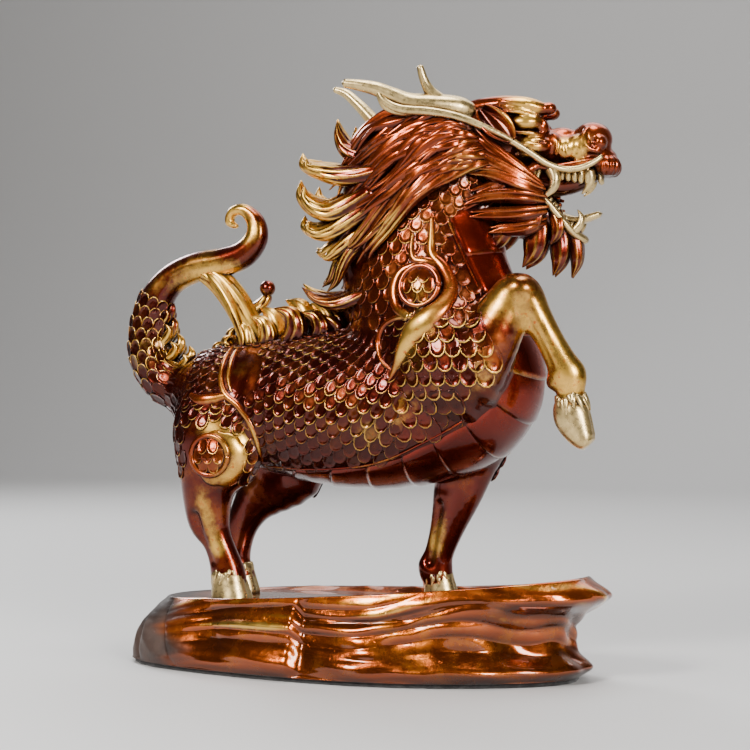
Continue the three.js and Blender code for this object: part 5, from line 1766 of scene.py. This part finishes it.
class QILIN_OT_rock(bpy.types.Operator):
    """Carve the rock with its flowing ridges and its lip"""
    bl_idname = "qilin.rock"
    bl_label = "Rock"

    LENGTH, WIDTH = 172.0, 76.0
    SQUARENESS = 2.15
    LIP_RISE = 12.2
    FLANK_MARGIN, END_MARGIN = 11.0, 17.0
    # Where round the rock the fold of the near side ends, in radians.
    FOLD_END = -1.64

    def execute(self, context):
        pad_top = (PAD_BOX[1][2] - FIGURE_ORIGIN[2]) / FIGURE_SCALE
        levels = through([(*level, 0) for level in ROCK_LEVELS], 12)[:, :4]
        # The steps round the rock are finest at the fold of the near side.
        even = ring_turns(ROCK_AROUND)
        angle = even - 0.5 * np.sin(even - self.FOLD_END)
        flank = [self.ring(angle, *level, pad_top) for level in levels]
        points = [ring for ring, _ in flank]
        ridges = [ridge for _, ridge in flank]
        for step in range(1, ROCK_TOP_RINGS + 1):
            points.append(self.top_ring(angle, points[len(levels) - 1], step / ROCK_TOP_RINGS))
            ridges.append(np.full(ROCK_AROUND, 0.35))
        grid = np.vstack([*points, [[0, 0, pad_top]], [[0, 0, ROCK_TOP]]])
        grid[:, 0] -= FIGURE_ORIGIN[0] / FIGURE_SCALE
        ridge = np.concatenate([*ridges, [0, 0.3]])
        faces = closed_tube_faces(len(points), ROCK_AROUND)
        piece = make_piece("carved_rock", grid, faces, rock_material(), ridge, "rock_base")
        x, y, z = grid.T
        wavering = x + 4 * np.sin(0.5 * z) + 3 * np.sin(0.23 * y)
        add_values(piece.data, "soot", 1 - soft_step(-70, -54, wavering))
        inner = np.full(ROCK_TOP_RINGS * ROCK_AROUND, 0.6)
        shares = np.concatenate([np.repeat(levels[:, 0], ROCK_AROUND), inner, [0, 0.6]])
        add_values(piece.data, "gilt", self.gilt(grid, ridge, shares))
        return {"FINISHED"}

    def top_ring(self, angle, crest, t):
        """A ring of the rock's top, from its crest at t = 0 inwards."""
        side = np.sin(angle)**2
        inner = self.outline(angle, -self.FLANK_MARGIN * side - self.END_MARGIN * (1 - side))
        mix = min(1.0, t * TOP_RATE)
        flat = crest[:, :2] * (1 - mix) + inner * mix
        if mix >= 1:
            flat = inner * (1 - (t - 1 / TOP_RATE) / (1 - 1 / TOP_RATE) * TOP_CLOSING)
        drop = soft_step(0, 0.42, t)
        height = crest[:, 2] * (1 - drop) + ROCK_TOP * drop
        swirl = 0.35 * np.sin(0.33 * flat[:, 0] + 2.2 * np.sin(0.11 * flat[:, 1] + 0.8))
        return np.column_stack([flat, height + swirl * (1 - soft_step(0.12, 0.3, t))])

    @staticmethod
    def gilt(grid, ridge, shares):
        """The gold lies on the ridges near the rock's upper edge."""
        cloud = np.sin(0.07 * grid[:, 0] + 1.3) * np.sin(0.19 * grid[:, 2] + 0.045 * grid[:, 0])
        line = 0.72 + 0.07 * np.sin(0.055 * grid[:, 0] + 0.4) + 0.08 * soft_step(30, 80, grid[:, 0])
        band = np.exp(-((shares - line) / 0.1)**2) * (0.3 + 0.7 * ridge)
        return np.clip(0.45 + 0.7 * cloud, 0, 1) * band + 0.25 * ridge * soft_step(0.6, 0.85, shares)

    def outline(self, angle, grow):
        """The rock's outline from above, a rounded oblong that wavers on its long sides."""
        c, s = np.cos(angle), np.sin(angle)
        shape = (np.abs(c)**self.SQUARENESS + np.abs(s)**self.SQUARENESS)**(-1 / self.SQUARENESS)
        shape = shape * (1 + 0.035 * np.sin(4 * angle + 0.5) * s * s)
        return np.column_stack([(self.LENGTH / 2 * shape + grow) * c, (self.WIDTH / 2 * shape + grow) * s])

    def ring(self, angle, share, tail, flank, head, pad_top):
        """One ring of the rock's flank and its ridge values."""
        forward = 0.5 + 0.5 * np.cos(angle)
        near = 0.5 - 0.5 * np.sin(angle)
        side = np.sin(angle)**2
        end = np.where(forward > 0.5, head, tail)
        rise = self.LIP_RISE * forward**1.3 * np.minimum(1, 0.45 + 1.1 * near)
        flat = self.outline(angle, flank * side + end * (1 - side))
        # Strata: ridges that run round the rock, part and meet again.
        drift = 0.9 * np.sin(2 * angle + 0.6) + 0.5 * np.sin(5 * angle + 1.9)
        drift = drift + 0.25 * np.sin(9 * angle + 0.3)
        around = (angle + np.pi) % (2 * np.pi) - np.pi
        past_fold = soft_step(self.FOLD_END - 0.03, self.FOLD_END + 0.03, around)
        slipped = past_fold * (1 - soft_step(0.0, 2.0, around))
        phase = 15 * share + drift * (0.8 + 1.2 * share) + 1.9 * slipped
        broad = np.abs(np.sin(0.5 * phase))**0.7
        fine = np.abs(np.sin(1.5 * phase + 1.1 * np.sin(7 * angle)))**0.8
        fade = math.sin(math.pi * min(1.0, share * 1.02))**0.5 if 0 < share < 1 else 0.0
        upper = soft_step(0.3, 0.75, share)
        strata = (0.45 + 1.5 * upper) * (broad - 0.75) + (0.15 + 0.8 * upper) * (fine - 0.65)
        behind = soft_step(0.35, 0.85, -np.cos(angle))
        bulges = np.sin(5 * angle + 0.9 + 0.8 * share) + 0.5 * np.sin(8 * angle + 2.1)
        folds = np.sin(13 * angle + 1.6 * share + 0.8 * np.sin(3 * angle))
        folds = folds + 0.4 * np.sin(21 * angle - 2 * share)
        creases = -np.abs(np.sin(11 * angle + 2.5 * share + 0.6 * np.sin(4 * angle)))**0.6
        lumps = np.sin(17 * angle + 6 * share + 1.2 * np.sin(5 * angle)) * np.sin(9 * share + 4 * angle)
        # One broad fold on the near side ends in a steep face over a hollow.
        bulge = np.exp(-((around - self.FOLD_END + 0.12) / 0.24)**2) * (1 - past_fold)
        hollow = np.exp(-np.maximum(around - self.FOLD_END, 0) / 0.2) * slipped
        relief = strata * (1 - 0.8 * behind) + 0.9 * bulges + 0.5 * folds + 0.5 * lumps
        push = fade * (relief + 2.0 * bulge - 1.9 * hollow - 3.4 * behind * (1 + creases) - 0.7)
        out = np.column_stack([np.cos(angle), np.sin(angle)])
        ridge = np.clip(0.65 * broad**2 + 0.5 * fine**3 - 0.15, 0, 1) * (0.42 + 0.58 * upper)
        # Painted shade and light: the hollow past the fold is given darker lacquer and the fold's bulge paler
        # lacquer, through their ridge value.
        ridge = ridge * (1 - 0.75 * hollow) + 0.3 * bulge * (1 - ridge)
        height = pad_top * (1 - share) + rise * share**2
        return np.column_stack([flat + out * push[:, None], height]), ridge


def felt_material():
    """Matt black felt with short, matted fibres."""
    tones = bpy.context.scene.qilin_colours
    material, w, shader = new_finish("black_felt", Roughness=0.95, Sheen_Weight=0.3)
    fibres = w.noise(2600, 3, 0.7)
    matted = w.spread(w.plus(fibres, w.noise(300, 3, 0.6)), 0.75, 1.3)
    w.put(w.mix(matted, (*tones.felt, 1), (*tones.felt_fibre, 1)), shader["Base Color"])
    w.put(w.bump(fibres, 0.6, 0.0004), shader["Normal"])
    return material


class QILIN_OT_felt(bpy.types.Operator):
    """Give the felt pad under the rock its fibres"""
    bl_idname = "qilin.felt"
    bl_label = "Felt pad"

    def execute(self, context):
        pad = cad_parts["felt_pad"]
        pad.data.materials.clear()
        pad.data.materials.append(felt_material())
        return {"FINISHED"}


# The stage

class QILIN_OT_stage(bpy.types.Operator):
    """Set the pale floor, the soft lights and the camera"""
    bl_idname = "qilin.stage"
    bl_label = "Stage"

    # Each light: its place, its size across, its watts and its colour.
    LIGHTS = (
        ("key", (-0.3, -0.9, 0.6), 0.24, 10.5, (1.0, 0.98, 0.95)),
        ("front", (0.66, -0.6, 0.36), 0.22, 7, (1.0, 0.98, 0.96)),
        ("top", (0.1, -0.05, 1.0), 0.4, 6.5, (1, 1, 1)),
        ("rim", (-0.7, 0.55, 0.6), 0.3, 6, (0.96, 0.98, 1.0)),
        ("backdrop", (0.0, 1.0, 1.5), 1.4, 17, (0.97, 0.98, 1.0)),
    )

    def execute(self, context):
        scene = context.scene
        self.floor()
        for name, place, size, watts, colour in self.LIGHTS:
            lamp = bpy.data.lights.new(name, "AREA")
            lamp.shape = "SQUARE"
            lamp.size = size
            lamp.energy = watts
            lamp.color = colour
            holder = bpy.data.objects.new(name, lamp)
            holder.location = place
            aim = Vector((0, 0, 0.1)) - Vector(place)
            holder.rotation_euler = aim.to_track_quat("-Z", "Y").to_euler()
            scene.collection.objects.link(holder)
        world = bpy.data.worlds.new("studio")
        world.use_nodes = True
        background = world.node_tree.nodes["Background"].inputs
        background["Color"].default_value = (0.6, 0.61, 0.63, 1)
        background["Strength"].default_value = 0.06
        scene.world = world
        self.camera(scene)
        return {"FINISHED"}

    @staticmethod
    def floor():
        """A pale floor that curves up into a backdrop."""
        # In metres: its reach to the front and the back, half its width, and its bend's radius and height.
        ahead, back, half, bend, top = 2.24, 1.1, 2.6, 0.35, 2.2
        profile = [(-ahead, 0.0), (back, 0.0)]
        for turn in np.linspace(0.1, math.pi / 2, 10):
            profile.append((back + bend * math.sin(turn), bend * (1 - math.cos(turn))))
        profile.append((back + bend, top))
        points = [(x, y, z) for y, z in profile for x in (-half, half)]
        faces = [(2 * i, 2 * i + 1, 2 * i + 3, 2 * i + 2) for i in range(len(profile) - 1)]
        mesh = bpy.data.meshes.new("floor")
        mesh.from_pydata(points, [], faces)
        mesh.update()
        mesh.polygons.foreach_set("use_smooth", np.ones(len(mesh.polygons), bool))
        material, _, shader = new_finish("floor", Roughness=0.6)
        shader["Base Color"].default_value = (0.62, 0.61, 0.6, 1)
        mesh.materials.append(material)
        floor = bpy.data.objects.new("floor", mesh)
        bpy.context.scene.collection.objects.link(floor)
        floor.location.z = PAD_BOX[0][2]

    @staticmethod
    def camera(scene):
        """The photograph's camera."""
        lens = bpy.data.cameras.new("camera")
        lens.lens = VIEW_LENS_MM
        lens.sensor_width = 36
        lens.clip_start = 0.02
        c, s = math.cos(VIEW_TURN), math.sin(VIEW_TURN)
        ahead = FIGURE_ORIGIN[0] + VIEW_DISTANCE * s + VIEW_SIDESTEP * c
        holder = bpy.data.objects.new("camera", lens)
        holder.location = (ahead, VIEW_SIDESTEP * s - VIEW_DISTANCE * c, VIEW_HEIGHT)
        holder.rotation_euler = (math.pi / 2, 0, VIEW_TURN)
        scene.collection.objects.link(holder)
        scene.camera = holder


# Settings and the panel

def tone(name, description, default):
    """A colour that the panel shows."""
    return FloatVectorProperty(name=name, description=description, default=default, subtype="COLOR",
                               min=0, max=1)


class QilinSizes(bpy.types.PropertyGroup):
    """Sizes of the carving, in drawn millimetres."""
    body_voxel: FloatProperty(name="Body voxel", description="Fineness of the body's skin in millimetres",
                              default=0.8, min=0.4, max=3)
    head_voxel: FloatProperty(name="Head voxel", description="Fineness of the head's skin in millimetres",
                              default=0.4, min=0.25, max=2)
    scale_pitch: FloatProperty(name="Scale pitch", description="Distance between scale rows in millimetres",
                               default=4.1, min=2, max=8)
    scale_lift: FloatProperty(name="Scale lift", description="Height of a scale's free edge in millimetres",
                              default=0.75, min=0.1, max=2)
    plates: IntProperty(name="Plates", description="Number of plates from the throat to the belly's end",
                        default=12, min=4, max=40)


class QilinColours(bpy.types.PropertyGroup):
    """Colours of the finishes."""
    # Painted shade as well as lacquer gathered in the hollows: this colour fills the grooves, the hollows and
    # the undersides.
    pooled_and_shaded: tone("Pooled lacquer", "Lacquer that has gathered in the hollows", (0.014, 0.0015, 0.0007))
    lacquer: tone("Lacquer", "The red-brown lacquer over the casting", (0.15, 0.011, 0.0028))
    warm: tone("Warm lacquer", "The brighter lacquer on the neck and the ornaments", (0.4, 0.056, 0.009))
    copper: tone("Copper glow", "Where the lacquer is thin", (0.6, 0.15, 0.017))
    # Painted highlight as well as thin lacquer: brighter than the copper glow, so that the neck and the mane
    # look more brightly lit.
    copper_and_highlight: tone("Bright copper", "The thinnest lacquer, on neck and mane", (0.76, 0.24, 0.045))
    plate_red: tone("Plate red", "The lacquer on the smooth plates", (0.26, 0.016, 0.003))
    plate_glow: tone("Plate glow", "Thin lacquer on the smooth plates", (0.62, 0.08, 0.012))
    gold: tone("Gold", "Gold rubbed bare on the raised parts", (0.86, 0.49, 0.085))
    brass: tone("Pale brass", "Horns, whiskers, teeth and hooves", (0.7, 0.51, 0.22))
    tarnish: tone("Tarnish", "Dark stain in the brass's hollows", (0.17, 0.085, 0.02))
    # Painted shade as well as lacquer gathered in the grooves: this colour fills the rock's grooves and its
    # undersides.
    rock_deep: tone("Rock, deep", "Lacquer in the rock's grooves", (0.018, 0.0035, 0.0008))
    rock_amber: tone("Rock, amber", "The rock's main lacquer", (0.5, 0.09, 0.006))
    rock_glow: tone("Rock, glow", "Thin lacquer on the rock", (0.95, 0.31, 0.015))
    soot: tone("Rock, dark end", "The dull dark patina at the rock's tail end", (0.028, 0.016, 0.012))
    soot_pale: tone("Rock, dark end, rubbed", "Paler streaks on the dark end", (0.085, 0.052, 0.04))
    felt: tone("Felt", "The felt's ground colour", (0.012, 0.011, 0.011))
    felt_fibre: tone("Felt fibre", "The felt's paler fibres", (0.045, 0.043, 0.042))


STEPS = (
    QILIN_OT_body, QILIN_OT_scales, QILIN_OT_plates, QILIN_OT_ornaments, QILIN_OT_hooves, QILIN_OT_head,
    QILIN_OT_ears, QILIN_OT_mouth, QILIN_OT_horns, QILIN_OT_mane, QILIN_OT_beard, QILIN_OT_tufts,
    QILIN_OT_rock, QILIN_OT_felt, QILIN_OT_stage,
)


class QILIN_PT_panel(bpy.types.Panel):
    """The steps that build the figure, in their order"""
    bl_label = "Qilin figure"
    bl_idname = "QILIN_PT_panel"
    bl_space_type = "VIEW_3D"
    bl_region_type = "UI"
    bl_category = "Qilin"

    def draw(self, context):
        for group in (context.scene.qilin_sizes, context.scene.qilin_colours):
            for key in group.__annotations__:
                self.layout.prop(group, key)
        for step in STEPS:
            self.layout.operator(step.bl_idname)


CLASSES = (QilinSizes, QilinColours, *STEPS, QILIN_PT_panel)


def register():
    for each in CLASSES:
        bpy.utils.register_class(each)
    bpy.types.Scene.qilin_sizes = PointerProperty(type=QilinSizes)
    bpy.types.Scene.qilin_colours = PointerProperty(type=QilinColours)


def unregister():
    del bpy.types.Scene.qilin_colours
    del bpy.types.Scene.qilin_sizes
    for each in reversed(CLASSES):
        bpy.utils.unregister_class(each)


def main():
    register()
    for step in STEPS:
        group, action = step.bl_idname.split(".")
        getattr(getattr(bpy.ops, group), action)()
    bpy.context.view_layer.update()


if __name__ == "__main__":
    main()
